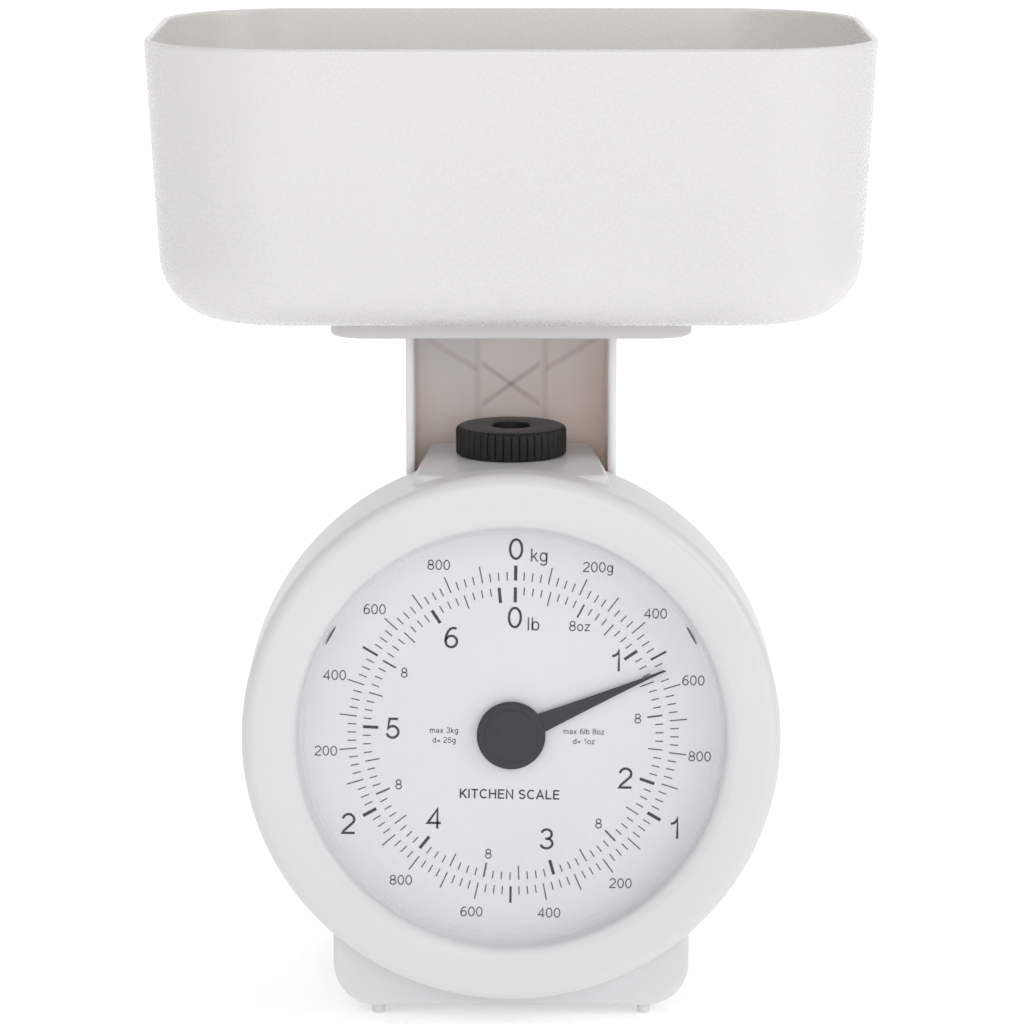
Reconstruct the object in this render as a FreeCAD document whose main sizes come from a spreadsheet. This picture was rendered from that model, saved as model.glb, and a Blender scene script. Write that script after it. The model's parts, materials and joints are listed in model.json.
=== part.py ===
"""Mechanical kitchen scale: rounded-rectangle bowl on a pillar, dial in a round housing.

Millimetres. X is to the right, Y points to the back and Z up. The origin is under the middle
of the bowl, in the plane that the feet stand on. The moving parts are drawn at a reading of
about 555 g, with the pointer about 67 degrees clockwise from zero.
"""

import FreeCAD, Part

import math
import os

import Sketcher
from FreeCAD import Placement, Rotation, Vector

# Driving dimensions of the scale. Cells hold plain numbers in millimetres or degrees.
DIMENSIONS = {
    # bowl
    "bowl_width": 165.0,
    "bowl_depth": 115.2,
    "bowl_rim": 224.9,
    "bowl_floor": 161.6,
    "bowl_draft": 3.2,
    "bowl_corner": 31.0,
    "bowl_bottom_round": 15.0,
    "bowl_wall": 2.0,
    "locator_width": 40.0,
    "locator_depth": 30.0,
    "locator_rise": 1.0,
    "locator_gap": 0.4,
    # platform and pillar
    "platform_width": 82.0,
    "platform_depth": 72.0,
    "platform_under": 157.8,
    "platform_corner": 8.0,
    "pillar_half": 24.25,
    "pillar_wall": 2.0,
    "pillar_front": -19.0,
    "pillar_back": 13.0,
    "pillar_foot": 62.0,
    "rib_height": 1.4,
    "rib_thick": 1.2,
    "rib_x": 8.0,
    "cross_low": 132.8,
    "cross_high": 144.8,
    # housing
    "dial_height": 68.0,
    "drum_radius": 61.2,
    "ring_front": -50.2,
    "opening_radius": 48.8,
    "lens_seat": -46.6,
    "lens_radius": 52.6,
    "ring_back": -41.4,
    "split": -22.5,
    "shell_wall": 2.2,
    "rear_face": 40.0,
    "rear_radius": 48.6,
    "base_half": 41.0,
    "base_front": -38.6,
    "base_back": 38.6,
    "base_under": 2.3,
    "base_round": 10.0,
    "foot_x": 30.7,
    "foot_y": 35.0,
    "foot_radius": 1.5,
    "boss_half": 19.0,
    "boss_flare": 0.077,
    "boss_front": -41.0,
    "boss_foot": 118.0,
    "boss_top": 127.5,
    "boss_back": 3.0,
    "slot_half": 25.6,
    "slot_back": 16.6,
    # knob
    "knob_y": -12.5,
    "knob_radius": 12.8,
    "knob_under": 127.7,
    "knob_top": 134.2,
    "knob_hole": 4.5,
    "knurl_radius": 0.55,
    "zero_thread": 2.0,
    # dial movement
    "dial_front": -42.9,
    "dial_step": 0.3,
    "inner_step": 46.5,
    "outer_step": 47.7,
    "dial_thick": 1.5,
    "plate_back": -40.2,
    "shaft_radius": 1.2,
    "hub_radius": 7.8,
    "pointer_reach": 37.9,
    "pointer_angle": 66.6,
    "gear_module": 0.4,
    "gear_teeth": 14,
    "pressure_angle": 20.0,
    "gear_front": -34.0,
    "gear_back": -28.0,
    # carriage and links
    "carriage_half": 20.0,
    "carriage_top": 110.0,
    "carriage_foot": 36.0,
    "sheet_thick": 1.5,
    "link_length": 38.0,
    "link_tilt": 8.38,
    "link_pivot_y": -36.0,
    "upper_pivot": 98.46,
    "lower_pivot": 36.46,
    "pin_radius": 1.5,
    "pin_clearance": 0.06,
    # spring
    "spring_radius": 4.4,
    "wire_radius": 0.6,
    "spring_pitch": 2.8,
    "spring_low": 54.0,
    "spring_high": 110.0,
    "spigot_radius": 3.7,
}

doc = FreeCAD.newDocument("kitchen_scale")
sheet = doc.addObject("Spreadsheet::Sheet", "sizes")
for row, (alias, value) in enumerate(DIMENSIONS.items(), start=1):
    sheet.set(f"A{row}", alias)
    sheet.set(f"B{row}", str(value))
    sheet.setAlias(f"B{row}", alias)
doc.recompute()

NODES = {}


def formula(text):
    """Turn a formula in sheet aliases into an expression that names the sheet."""
    words = str(text).replace("(", " ( ").replace(")", " ) ").split()
    return " ".join(f"sizes.{word}" if word in DIMENSIONS else word for word in words)


def number(text):
    """Value of a formula in sheet aliases."""
    values = {alias: float(sheet.get(alias)) for alias in DIMENSIONS}
    words = str(text).replace("(", " ( ").replace(")", " ) ").split()
    total = FreeCAD.Units.Quantity(
        " ".join(f"({values[word]})" if word in values else word for word in words)
    )
    return float(total.Value)


def bind(target, **settings):
    """Bind properties of an object to formulas; double underscores stand for dots."""
    for name, text in settings.items():
        target.setExpression(name.replace("__", "."), formula(text))
    return target


def keep(node, target):
    """Name a finished sub-part after its node."""
    target.Label = node
    NODES[node] = target
    return target


# ---------------------------------------------------------------- primitives and booleans
def box(x_low, x_high, y_low, y_high, z_low, z_high):
    """Box between six planes."""
    solid = doc.addObject("Part::Box", "block")
    return bind(
        solid,
        Length=f"( {x_high} ) - ( {x_low} )",
        Width=f"( {y_high} ) - ( {y_low} )",
        Height=f"( {z_high} ) - ( {z_low} )",
        Placement__Base__x=x_low,
        Placement__Base__y=y_low,
        Placement__Base__z=z_low,
    )


AXIS_TURNS = {
    "X": Rotation(Vector(0, 1, 0), 90),
    "Y": Rotation(Vector(1, 0, 0), -90),
    "Z": Rotation(),
}


def rod(axis, radius, low, high, across, along):
    """Cylinder along an axis from low to high; across and along are its other two coordinates."""
    solid = doc.addObject("Part::Cylinder", "round")
    solid.Placement = Placement(Vector(), AXIS_TURNS[axis])
    order = {"X": ("x", "y", "z"), "Y": ("y", "x", "z"), "Z": ("z", "x", "y")}[axis]
    places = dict(zip(order, (low, across, along)))
    return bind(
        solid,
        Radius=radius,
        Height=f"( {high} ) - ( {low} )",
        Placement__Base__x=places["x"],
        Placement__Base__y=places["y"],
        Placement__Base__z=places["z"],
    )


def fuse(*solids):
    """Union with merged faces."""
    union = doc.addObject("Part::MultiFuse", "union")
    union.Shapes = list(solids)
    union.Refine = True
    return union


def cut(base, *tools):
    """Base less every tool."""
    result = doc.addObject("Part::Cut", "less")
    result.Base = base
    result.Tool = tools[0] if len(tools) == 1 else fuse(*tools)
    result.Refine = True
    return result


def group(node, *solids):
    """Several separate solids in one node."""
    compound = doc.addObject("Part::Compound", node)
    compound.Links = list(solids)
    return keep(node, compound)


# ---------------------------------------------------------------- bodies and sketches
def make_body(node):
    """Empty PartDesign body for a node."""
    return keep(node, doc.addObject("PartDesign::Body", node))


def draw(body, role, corners, shift=("0", "0", "0")):
    """Closed outline of straight edges on one of the body's origin planes."""
    sketch = body.newObject("Sketcher::SketchObject", "outline")
    plane = [feature for feature in body.Origin.OriginFeatures if feature.Role == role]
    sketch.AttachmentSupport = [(plane[0], "")]
    sketch.MapMode = "FlatFace"
    for letter, text in zip("xyz", shift):
        sketch.setExpression(f"AttachmentOffset.Base.{letter}", formula(text))
    places = [Vector(number(x), number(y), 0) for x, y in corners]
    count = len(places)
    for index in range(count):
        sketch.addGeometry(Part.LineSegment(places[index], places[(index + 1) % count]), False)
    for index in range(count):
        sketch.addConstraint(
            Sketcher.Constraint("Coincident", index, 2, (index + 1) % count, 1)
        )
    for index, (corner, place) in enumerate(zip(corners, places)):
        for kind, text, value in zip(("DistanceX", "DistanceY"), corner, (place.x, place.y)):
            rule = sketch.addConstraint(Sketcher.Constraint(kind, index, 1, value))
            name = f"{kind}_{index}"
            sketch.renameConstraint(rule, name)
            sketch.setExpression(f"Constraints.{name}", formula(text))
    return sketch


def rectangle(x_low, x_high, y_low, y_high):
    """Corners of a rectangle."""
    return [(x_low, y_low), (x_high, y_low), (x_high, y_high), (x_low, y_high)]


def pad(body, sketch, height, taper="0", kind="PartDesign::Pad"):
    """Pad or pocket of a sketch along its normal."""
    feature = body.newObject(kind, "pad")
    feature.Profile = sketch
    bind(feature, Length=height, TaperAngle=taper)
    doc.recompute()
    return feature


def turn(body, sketch, axis="H_Axis"):
    """Full revolution of a sketch about one of its own axes."""
    feature = body.newObject("PartDesign::Revolution", "turned")
    feature.Profile = sketch
    feature.ReferenceAxis = (sketch, [axis])
    feature.Angle = 360
    doc.recompute()
    return feature


def soften(body, base, radius, wanted, kind="PartDesign::Fillet"):
    """Fillet the base feature's edges whose middle and ends satisfy wanted(edge)."""
    names = [f"Edge{n}" for n, edge in enumerate(base.Shape.Edges, start=1) if wanted(edge)]
    feature = body.newObject(kind, "softened")
    feature.Base = (base, names)
    bind(feature, **({"Radius": radius} if kind.endswith("Fillet") else {"Size": radius}))
    doc.recompute()
    return feature


def upright(edge):
    """True for an edge that rises along Z, draft included."""
    lift = abs(edge.Vertexes[0].Point.z - edge.Vertexes[-1].Point.z)
    return lift > 0.8 * edge.Length


def level_at(height):
    """Test for edges that lie in the plane z = height."""
    return lambda edge: abs(edge.BoundBox.ZMin - height) + abs(edge.BoundBox.ZMax - height) < 0.02


def ring_at(place_y, radius):
    """Test for round edges about the dial's axis."""
    return lambda edge: (
        abs(edge.BoundBox.YMin - place_y) + abs(edge.BoundBox.YMax - place_y) < 0.02
        and abs(edge.BoundBox.XMax - radius) < 0.02
    )


# ---------------------------------------------------------------- bowl, platform, pillar
def drafted_block(name, inset, floor, rim):
    """Rounded block that widens upward: the bowl's outside, or its inside when inset by the wall."""
    body = doc.addObject("PartDesign::Body", name)
    spread = math.tan(math.radians(number("bowl_draft"))) * number(f"bowl_rim - ( {floor} )")
    half_x = f"bowl_width / 2 - {inset} - {spread:.4f}"
    half_y = f"bowl_depth / 2 - {inset} - {spread:.4f}"
    foot = draw(
        body,
        "XY_Plane",
        rectangle(f"0 - ( {half_x} )", half_x, f"0 - ( {half_y} )", half_y),
        ("0", "0", floor),
    )
    block = pad(body, foot, f"{rim} - ( {floor} )", "bowl_draft")
    corners = soften(body, block, f"bowl_corner - {inset}", upright)
    soften(body, corners, f"bowl_bottom_round - {inset}", level_at(number(floor)))
    return body


def build_bowl():
    """Drafted bowl with round corners, a thin wall and a locating recess under its floor."""
    outside = drafted_block("bowl_outside", "0", "bowl_floor", "bowl_rim")
    inside = drafted_block("bowl_inside", "bowl_wall", "bowl_floor + bowl_wall", "bowl_rim + 2")
    half = "( locator_width / 2 + locator_gap )"
    deep = "( locator_depth / 2 + locator_gap )"
    dome = box(
        f"0 - {half} - 2",
        f"{half} + 2",
        f"0 - {deep} - 2",
        f"{deep} + 2",
        "bowl_floor + 0.5",
        "bowl_floor + bowl_wall + locator_rise",
    )
    recess = box(
        f"0 - {half}",
        half,
        f"0 - {deep}",
        deep,
        "bowl_floor - 1",
        "bowl_floor + locator_rise + locator_gap",
    )
    keep("bowl", cut(fuse(cut(outside, inside), dome), recess))


def build_platform():
    """Flat plate with round corners and a raised locator that enters the bowl's recess."""
    body = make_body("platform")
    half_x = "platform_width / 2"
    half_y = "platform_depth / 2"
    plate = pad(
        body,
        draw(
            body,
            "XY_Plane",
            rectangle(f"0 - {half_x}", half_x, f"0 - {half_y}", half_y),
            ("0", "0", "platform_under"),
        ),
        "bowl_floor - platform_under",
    )
    corners = soften(body, plate, "platform_corner", upright)
    edges = soften(body, corners, "1.2", level_at(number("platform_under")))
    locator = draw(
        body,
        "XY_Plane",
        rectangle(
            "0 - locator_width / 2",
            "locator_width / 2",
            "0 - locator_depth / 2",
            "locator_depth / 2",
        ),
        ("0", "0", "bowl_floor"),
    )
    pad(body, locator, "locator_rise")
    return edges


SCREW_X = 14.0
SCREW_Y = 17.0


def slanted_rib(name, left, right):
    """Rib behind the pillar that runs between the upright ribs, from one height to another."""
    body = doc.addObject("PartDesign::Body", name)
    corners = [
        ("0 - rib_x", left),
        ("rib_x", right),
        ("rib_x", f"{right} + rib_thick"),
        ("0 - rib_x", f"{left} + rib_thick"),
    ]
    sketch = draw(body, "XZ_Plane", corners, ("0", "0", "0 - pillar_back - rib_height"))
    pad(body, sketch, "rib_height + 0.5")
    return body


def build_pillar():
    """Channel open to the front, ribbed on its hidden back, with two screw bosses at the top."""
    inner = "pillar_half - pillar_wall"
    tall = ("pillar_foot", "platform_under")
    back = box(
        "0 - pillar_half", "pillar_half", "pillar_back - pillar_wall", "pillar_back", *tall
    )
    left = box("0 - pillar_half", f"0 - ( {inner} )", "pillar_front", "pillar_back", *tall)
    right = box(inner, "pillar_half", "pillar_front", "pillar_back", *tall)
    ribs = [
        box(
            f"{side} * rib_x - rib_thick / 2",
            f"{side} * rib_x + rib_thick / 2",
            "pillar_back - 0.5",
            "pillar_back + rib_height",
            *tall,
        )
        for side in (-1, 1)
    ]
    cross = [
        slanted_rib("rising_rib", "cross_low", "cross_high"),
        slanted_rib("falling_rib", "cross_high", "cross_low"),
    ]
    bosses = [rod("Z", "3", "142", "platform_under", x, SCREW_Y) for x in (-SCREW_X, SCREW_X)]
    webs = [
        box(f"{x} - 2", f"{x} + 2", "pillar_back - 0.5", SCREW_Y, "142", "platform_under")
        for x in (-SCREW_X, SCREW_X)
    ]
    solid = fuse(back, left, right, *ribs, *cross, *bosses, *webs)
    holes = [rod("Z", "1.25", "146", "160", x, SCREW_Y) for x in (-SCREW_X, SCREW_X)]
    rivet_holes = [
        rod("Y", "1.3", "pillar_back - 4", "pillar_back + 3", x, z)
        for x in (-12, 12)
        for z in (70, 96)
    ]
    keep("pillar", cut(solid, *holes, *rivet_holes))
    holes_above = [
        rod("Z", "1.5", "platform_under - 1", "bowl_floor + 1", x, SCREW_Y)
        for x in (-SCREW_X, SCREW_X)
    ]
    sinks = [
        rod("Z", "3", "bowl_floor - 1.8", "bowl_floor + 1", x, SCREW_Y)
        for x in (-SCREW_X, SCREW_X)
    ]
    plate = NODES.pop("platform")
    plate.Label = "platform_plate"
    keep("platform", cut(plate, *holes_above, *sinks))
    screws = [
        fuse(
            rod("Z", "2.8", "bowl_floor - 1.8", "bowl_floor - 0.2", x, SCREW_Y),
            rod("Z", "1.2", "147", "bowl_floor - 1.8", x, SCREW_Y),
        )
        for x in (-SCREW_X, SCREW_X)
    ]
    group("platform_screws", *screws)


# ---------------------------------------------------------------- housing
def base_block(inset, y_low, y_high):
    """Block of the base with two rounded lower edges, shrunk by inset on its sides and floor."""
    half = f"( base_half - {inset} )"
    under = f"( base_under + {inset} )"
    radius = f"( base_round - {inset} )"
    upper = box(f"0 - {half}", half, y_low, y_high, f"{under} + {radius}", "dial_height")
    lower = box(
        "0 - ( base_half - base_round )",
        "base_half - base_round",
        y_low,
        y_high,
        under,
        "dial_height",
    )
    corner_x = "( base_half - base_round )"
    rounds = [
        rod("Y", radius, y_low, y_high, f"{side} * {corner_x}", "base_under + base_round")
        for side in (-1, 1)
    ]
    return fuse(upper, lower, *rounds)


HOUSING_SCREW_X = 33.0
HOUSING_SCREW_Z = 16.0
CHASSIS_SCREW = 39.3


def turned_shape(name, corners):
    """Solid of revolution about the dial's axis; corners are (y, radius)."""
    body = doc.addObject("PartDesign::Body", name)
    sketch = draw(body, "YZ_Plane", corners, ("0", "dial_height", "0"))
    return body, turn(body, sketch)


def boss_block(name, inset, y_low, y_high, z_low, z_high):
    """Block that widens toward the front, with its sides an inset inside the boss's sides."""
    body = doc.addObject("PartDesign::Body", name)
    near = f"( boss_half - {inset} + boss_flare * ( boss_back - ( {y_low} ) ) )"
    far = f"( boss_half - {inset} + boss_flare * ( boss_back - ( {y_high} ) ) )"
    corners = [(f"0 - {near}", y_low), (near, y_low), (far, y_high), (f"0 - {far}", y_high)]
    pad(body, draw(body, "XY_Plane", corners, ("0", "0", z_low)), f"{z_high} - ( {z_low} )")
    return body


def build_front_housing():
    """Ring, drum, front half of the base and the knob's boss, hollow from behind."""
    outer, ring = turned_shape(
        "ring_outside",
        [
            ("ring_front", "0"),
            ("ring_front", "drum_radius - 0.05"),
            ("split", "drum_radius"),
            ("split", "0"),
        ],
    )
    soften(outer, ring, "3.2", ring_at(number("ring_front"), number("drum_radius - 0.05")))
    bore, bore_turn = turned_shape(
        "ring_bore",
        [
            ("ring_front - 1", "0"),
            ("ring_front - 1", "opening_radius + 3.2"),
            ("ring_front", "opening_radius + 3.2"),
            ("ring_front + 0.25", "opening_radius + 2"),
            ("ring_front + 0.94", "opening_radius + 0.94"),
            ("ring_front + 2", "opening_radius + 0.25"),
            ("ring_front + 3.2", "opening_radius"),
            ("lens_seat", "opening_radius"),
            ("lens_seat", "lens_radius + 0.1"),
            ("ring_back", "lens_radius + 0.1"),
            ("ring_back", "lens_radius + 2.2"),
            ("ring_front + 2.8", "lens_radius + 2.2"),
            ("ring_front + 2.8", "drum_radius - 3.8"),
            ("ring_front + 4.8", "drum_radius - shell_wall"),
            ("split + 1", "drum_radius - shell_wall"),
            ("split + 1", "0"),
        ],
    )
    boss = boss_block("boss", "0", "boss_front", "boss_back", "boss_foot", "boss_top")
    shell = fuse(outer, base_block("0", "base_front", "split"), boss)
    flat = boss_block("boss_flat", "0", "boss_front", "split + 1", "boss_top", "boss_top + 5")
    boss_room = boss_block(
        "boss_room",
        "shell_wall",
        "boss_front + shell_wall",
        "boss_back - shell_wall",
        "100",
        "boss_top - shell_wall",
    )
    base_room = base_block("2", "base_front + 2", "split + 1")
    cover_gap = box("0 - 29", "29", "base_front + 2", "split + 1", "0", "10")
    shaft_hole = rod("Z", "zero_thread + 0.08", "120", "boss_top + 1", "0", "knob_y")
    hollow = cut(shell, flat, bore, boss_room, base_room, cover_gap, shaft_hole)
    chassis_bosses = [
        rod("Y", "2.6", "ring_front + 2", "ring_back", x, f"dial_height + {z}")
        for x in (-CHASSIS_SCREW, CHASSIS_SCREW)
        for z in (-CHASSIS_SCREW, CHASSIS_SCREW)
    ]
    guides = [
        box(x_low, x_high, "knob_y - 5", "knob_y + 5", "108", "boss_top - 1")
        for x_low, x_high in (("0 - 8.8", "0 - 7.3"), ("7.3", "8.8"))
    ]
    posts = [
        rod("Y", "3.4", "base_front + 1", "split", x, HOUSING_SCREW_Z)
        for x in (-HOUSING_SCREW_X, HOUSING_SCREW_X)
    ]
    pilot_holes = [
        rod("Y", "1.02", "ring_front + 3", "ring_back + 1", x, f"dial_height + {z}")
        for x in (-CHASSIS_SCREW, CHASSIS_SCREW)
        for z in (-CHASSIS_SCREW, CHASSIS_SCREW)
    ] + [
        rod("Y", "1.52", "base_front + 4", "split + 1", x, HOUSING_SCREW_Z)
        for x in (-HOUSING_SCREW_X, HOUSING_SCREW_X)
    ]
    keep("front_housing", cut(fuse(hollow, *chassis_bosses, *guides, *posts), *pilot_holes))


def build_rear_housing():
    """Tapered back shell and rear half of the base, with the slot that the pillar slides in."""
    outer, cone = turned_shape(
        "back_outside",
        [
            ("split", "0"),
            ("split", "drum_radius - 0.4"),
            ("rear_face", "rear_radius"),
            ("rear_face", "0"),
        ],
    )
    soften(outer, cone, "6", ring_at(number("rear_face"), number("rear_radius")))
    inner, _ = turned_shape(
        "back_inside",
        [
            ("split - 1", "0"),
            ("split - 1", "drum_radius - 0.2 - shell_wall"),
            ("rear_face - shell_wall", "rear_radius - shell_wall - 2"),
            ("rear_face - shell_wall", "0"),
        ],
    )
    shell = fuse(outer, base_block("0", "split", "base_back"))
    base_room = base_block("2", "split - 1", "base_back - 2")
    cover_gap = box("0 - 29", "29", "split - 1", "base_back - 2", "0", "10")
    slot = box("0 - slot_half", "slot_half", "split - 1", "slot_back", "100", "140")
    boss_slot = box("0 - 18", "18", "slot_back - 1", "22", "112", "140")
    tubes = [
        rod("Y", "4.4", "split", "base_back - 1", x, HOUSING_SCREW_Z)
        for x in (-HOUSING_SCREW_X, HOUSING_SCREW_X)
    ]
    wells = [
        rod("Y", "3", "split + 5", "rear_face + 2", x, HOUSING_SCREW_Z)
        for x in (-HOUSING_SCREW_X, HOUSING_SCREW_X)
    ]
    holes = [
        rod("Y", "1.6", "split - 1", "split + 6", x, HOUSING_SCREW_Z)
        for x in (-HOUSING_SCREW_X, HOUSING_SCREW_X)
    ]
    hollow = cut(shell, inner, base_room, cover_gap, slot, boss_slot)
    keep("rear_housing", cut(fuse(hollow, *tubes), *wells, *holes))
    screws = [
        fuse(
            rod("Y", "2.7", "split + 5", "split + 7", x, HOUSING_SCREW_Z),
            rod("Y", "1.5", "split - 9", "split + 5", x, HOUSING_SCREW_Z),
        )
        for x in (-HOUSING_SCREW_X, HOUSING_SCREW_X)
    ]
    group("housing_screws", *screws)


def build_base():
    """Cover that closes the base from below, and the four feet."""
    cover = box(
        "0 - 28.9", "28.9", "base_front + 2.1", "base_back - 2.1", "base_under", "base_under + 2"
    )
    ribs = [
        box("0 - 27", "27", f"{y} - 0.8", f"{y} + 0.8", "base_under + 1", "base_under + 5")
        for y in (-20, 0, 20)
    ]
    keep("base_cover", fuse(cover, *ribs))
    feet = [
        rod("Z", "foot_radius", "0", "base_under", f"{x} * foot_x", f"{y} * foot_y")
        for x in (-1, 1)
        for y in (-1, 1)
    ]
    group("feet", *feet)


# ---------------------------------------------------------------- dial, lens, pointer
def build_dial():
    """Dial plate with a raised rim, and the slightly domed clear lens in front of it."""
    dial = make_body("dial_plate")
    dial_back = "dial_front + dial_thick"
    turn(
        dial,
        draw(
            dial,
            "YZ_Plane",
            [
                ("dial_front", "2.2"),
                ("dial_front", "inner_step"),
                ("dial_front - dial_step", "inner_step + 0.2"),
                ("dial_front - dial_step", "outer_step"),
                ("dial_front - 2 * dial_step", "outer_step + 0.2"),
                ("dial_front - 2 * dial_step", "48.8"),
                ("lens_seat + 1.1", "49.6"),
                ("lens_seat + 1.1", "lens_radius"),
                (dial_back, "lens_radius"),
                (dial_back, "2.2"),
            ],
            ("0", "dial_height", "0"),
        ),
    )
    lens = make_body("lens")
    rise = 2.2
    steps = 8
    reach = number("opening_radius") - 1
    curve = (reach**2 + rise**2) / (2 * rise)
    front = []
    for step in range(steps + 1):
        radius = reach * step / steps
        sag = rise - (curve - math.sqrt(curve**2 - radius**2))
        front.append((f"lens_seat - {sag:.4f}", f"{radius:.4f}"))
    behind = [(f"{y} + 1", radius) for y, radius in reversed(front)]
    rim = [("lens_seat", "lens_radius"), ("lens_seat + 1", "lens_radius")]
    turn(lens, draw(lens, "YZ_Plane", front + rim + behind, ("0", "dial_height", "0")))


def build_pointer():
    """Pointer blade with its round hub on the front end of the pinion shaft."""
    body = make_body("pointer")
    blade = draw(
        body,
        "XZ_Plane",
        [
            ("0 - 2.3", "5"),
            ("2.3", "5"),
            ("1.9", "hub_radius + 2"),
            ("0.25", "pointer_reach"),
            ("0 - 0.25", "pointer_reach"),
            ("0 - 1.9", "hub_radius + 2"),
        ],
        ("0", "0", "43.6"),
    )
    pad(body, blade, "0.8")
    hub = turned_shape(
        "hub_round",
        [
            ("0 - 45.3", "0"),
            ("0 - 45.3", "hub_radius - 0.8"),
            ("0 - 44.6", "hub_radius"),
            ("0 - 43.3", "hub_radius"),
            ("0 - 43.3", "shaft_radius"),
            ("0 - 44.6", "shaft_radius"),
            ("0 - 44.6", "0"),
        ],
    )[0]
    blade_body = NODES.pop("pointer")
    blade_body.Label = "pointer_blade"
    blade_body.Placement = Placement(
        Vector(0, 0, number("dial_height")),
        Rotation(Vector(0, 1, 0), number("pointer_angle")),
    )
    blade_body.setExpression("Placement.Base.z", formula("dial_height"))
    blade_body.setExpression("Placement.Rotation.Angle", formula("pointer_angle"))
    recess = rod("Y", "shaft_radius", "0 - 44.6", "0 - 42", "0", "dial_height")
    keep("pointer", cut(fuse(blade_body, hub), recess))


def involute_half_angle(radius, pitch_radius, pressure, thickness):
    """Half the angle of a tooth at a radius, for a half thickness at the pitch circle."""
    base_radius = pitch_radius * math.cos(pressure)
    angle = math.acos(min(1.0, base_radius / radius))
    return thickness / pitch_radius + math.tan(pressure) - pressure - (math.tan(angle) - angle)


BACKLASH = 0.035
ADDENDUM = 0.8
DEDENDUM = 1.05


def build_movement():
    """Pinion with involute teeth on its shaft, and the two bearing bushes."""
    module = number("gear_module")
    teeth = int(number("gear_teeth"))
    pressure = math.radians(number("pressure_angle"))
    pitch_radius = module * teeth / 2
    base_radius = pitch_radius * math.cos(pressure)
    root = pitch_radius - DEDENDUM * module
    tip = pitch_radius + ADDENDUM * module
    thickness = math.pi * module / 4 - BACKLASH
    flank = [base_radius + (tip - base_radius) * step / 5 for step in range(6)]
    centre = Vector(0, number("gear_front"), number("dial_height"))
    points = []
    for tooth in range(teeth):
        middle = 2 * math.pi * (tooth + 0.5) / teeth
        sides = [
            (radius, involute_half_angle(radius, pitch_radius, pressure, thickness))
            for radius in flank
        ]
        sides.insert(0, (root, sides[0][1]))
        turned = [(radius, -half) for radius, half in sides]
        turned += [(radius, half) for radius, half in reversed(sides)]
        for radius, half in turned:
            angle = middle + half
            points.append(
                centre + Vector(radius * math.cos(angle), 0, radius * math.sin(angle))
            )
    face = Part.Face(Part.makePolygon(points + [points[0]]))
    length = number("gear_back - gear_front")
    toothed = face.extrude(Vector(0, length, 0))
    bore = Part.makeCylinder(
        number("shaft_radius") + 0.01, length + 2, centre - Vector(0, 1, 0), Vector(0, 1, 0)
    )
    pinion = doc.addObject("Part::Feature", "pinion")
    pinion.Shape = toothed.cut(bore)
    keep("pinion", pinion)
    rods = fuse(
        rod("Y", "shaft_radius", "0 - 44.6", "0 - 24.6", "0", "dial_height"),
        rod("Y", "1", "0 - 25", "0 - 22.4", "0", "dial_height"),
        rod("Y", "2", "0 - 37", "0 - 36", "0", "dial_height"),
    )
    keep("pinion_shaft", rods)
    front_bush = fuse(
        rod("Y", "3", "ring_back + 0.1", "0 - 37.3", "0", "dial_height"),
        rod("Y", "4.2", "plate_back", "0 - 39.4", "0", "dial_height"),
    )
    front_bore = rod("Y", "shaft_radius + 0.05", "0 - 42", "0 - 36", "0", "dial_height")
    keep("front_bush", cut(front_bush, front_bore))
    rear_bush = fuse(
        rod("Y", "2.5", "0 - 24.2", "0 - 22.6", "0", "dial_height"),
        rod("Y", "3.6", "0 - 23", "0 - 22.2", "0", "dial_height"),
    )
    rear_bore = rod("Y", "1.05", "0 - 26", "0 - 21", "0", "dial_height")
    keep("rear_bush", cut(rear_bush, rear_bore))


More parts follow.
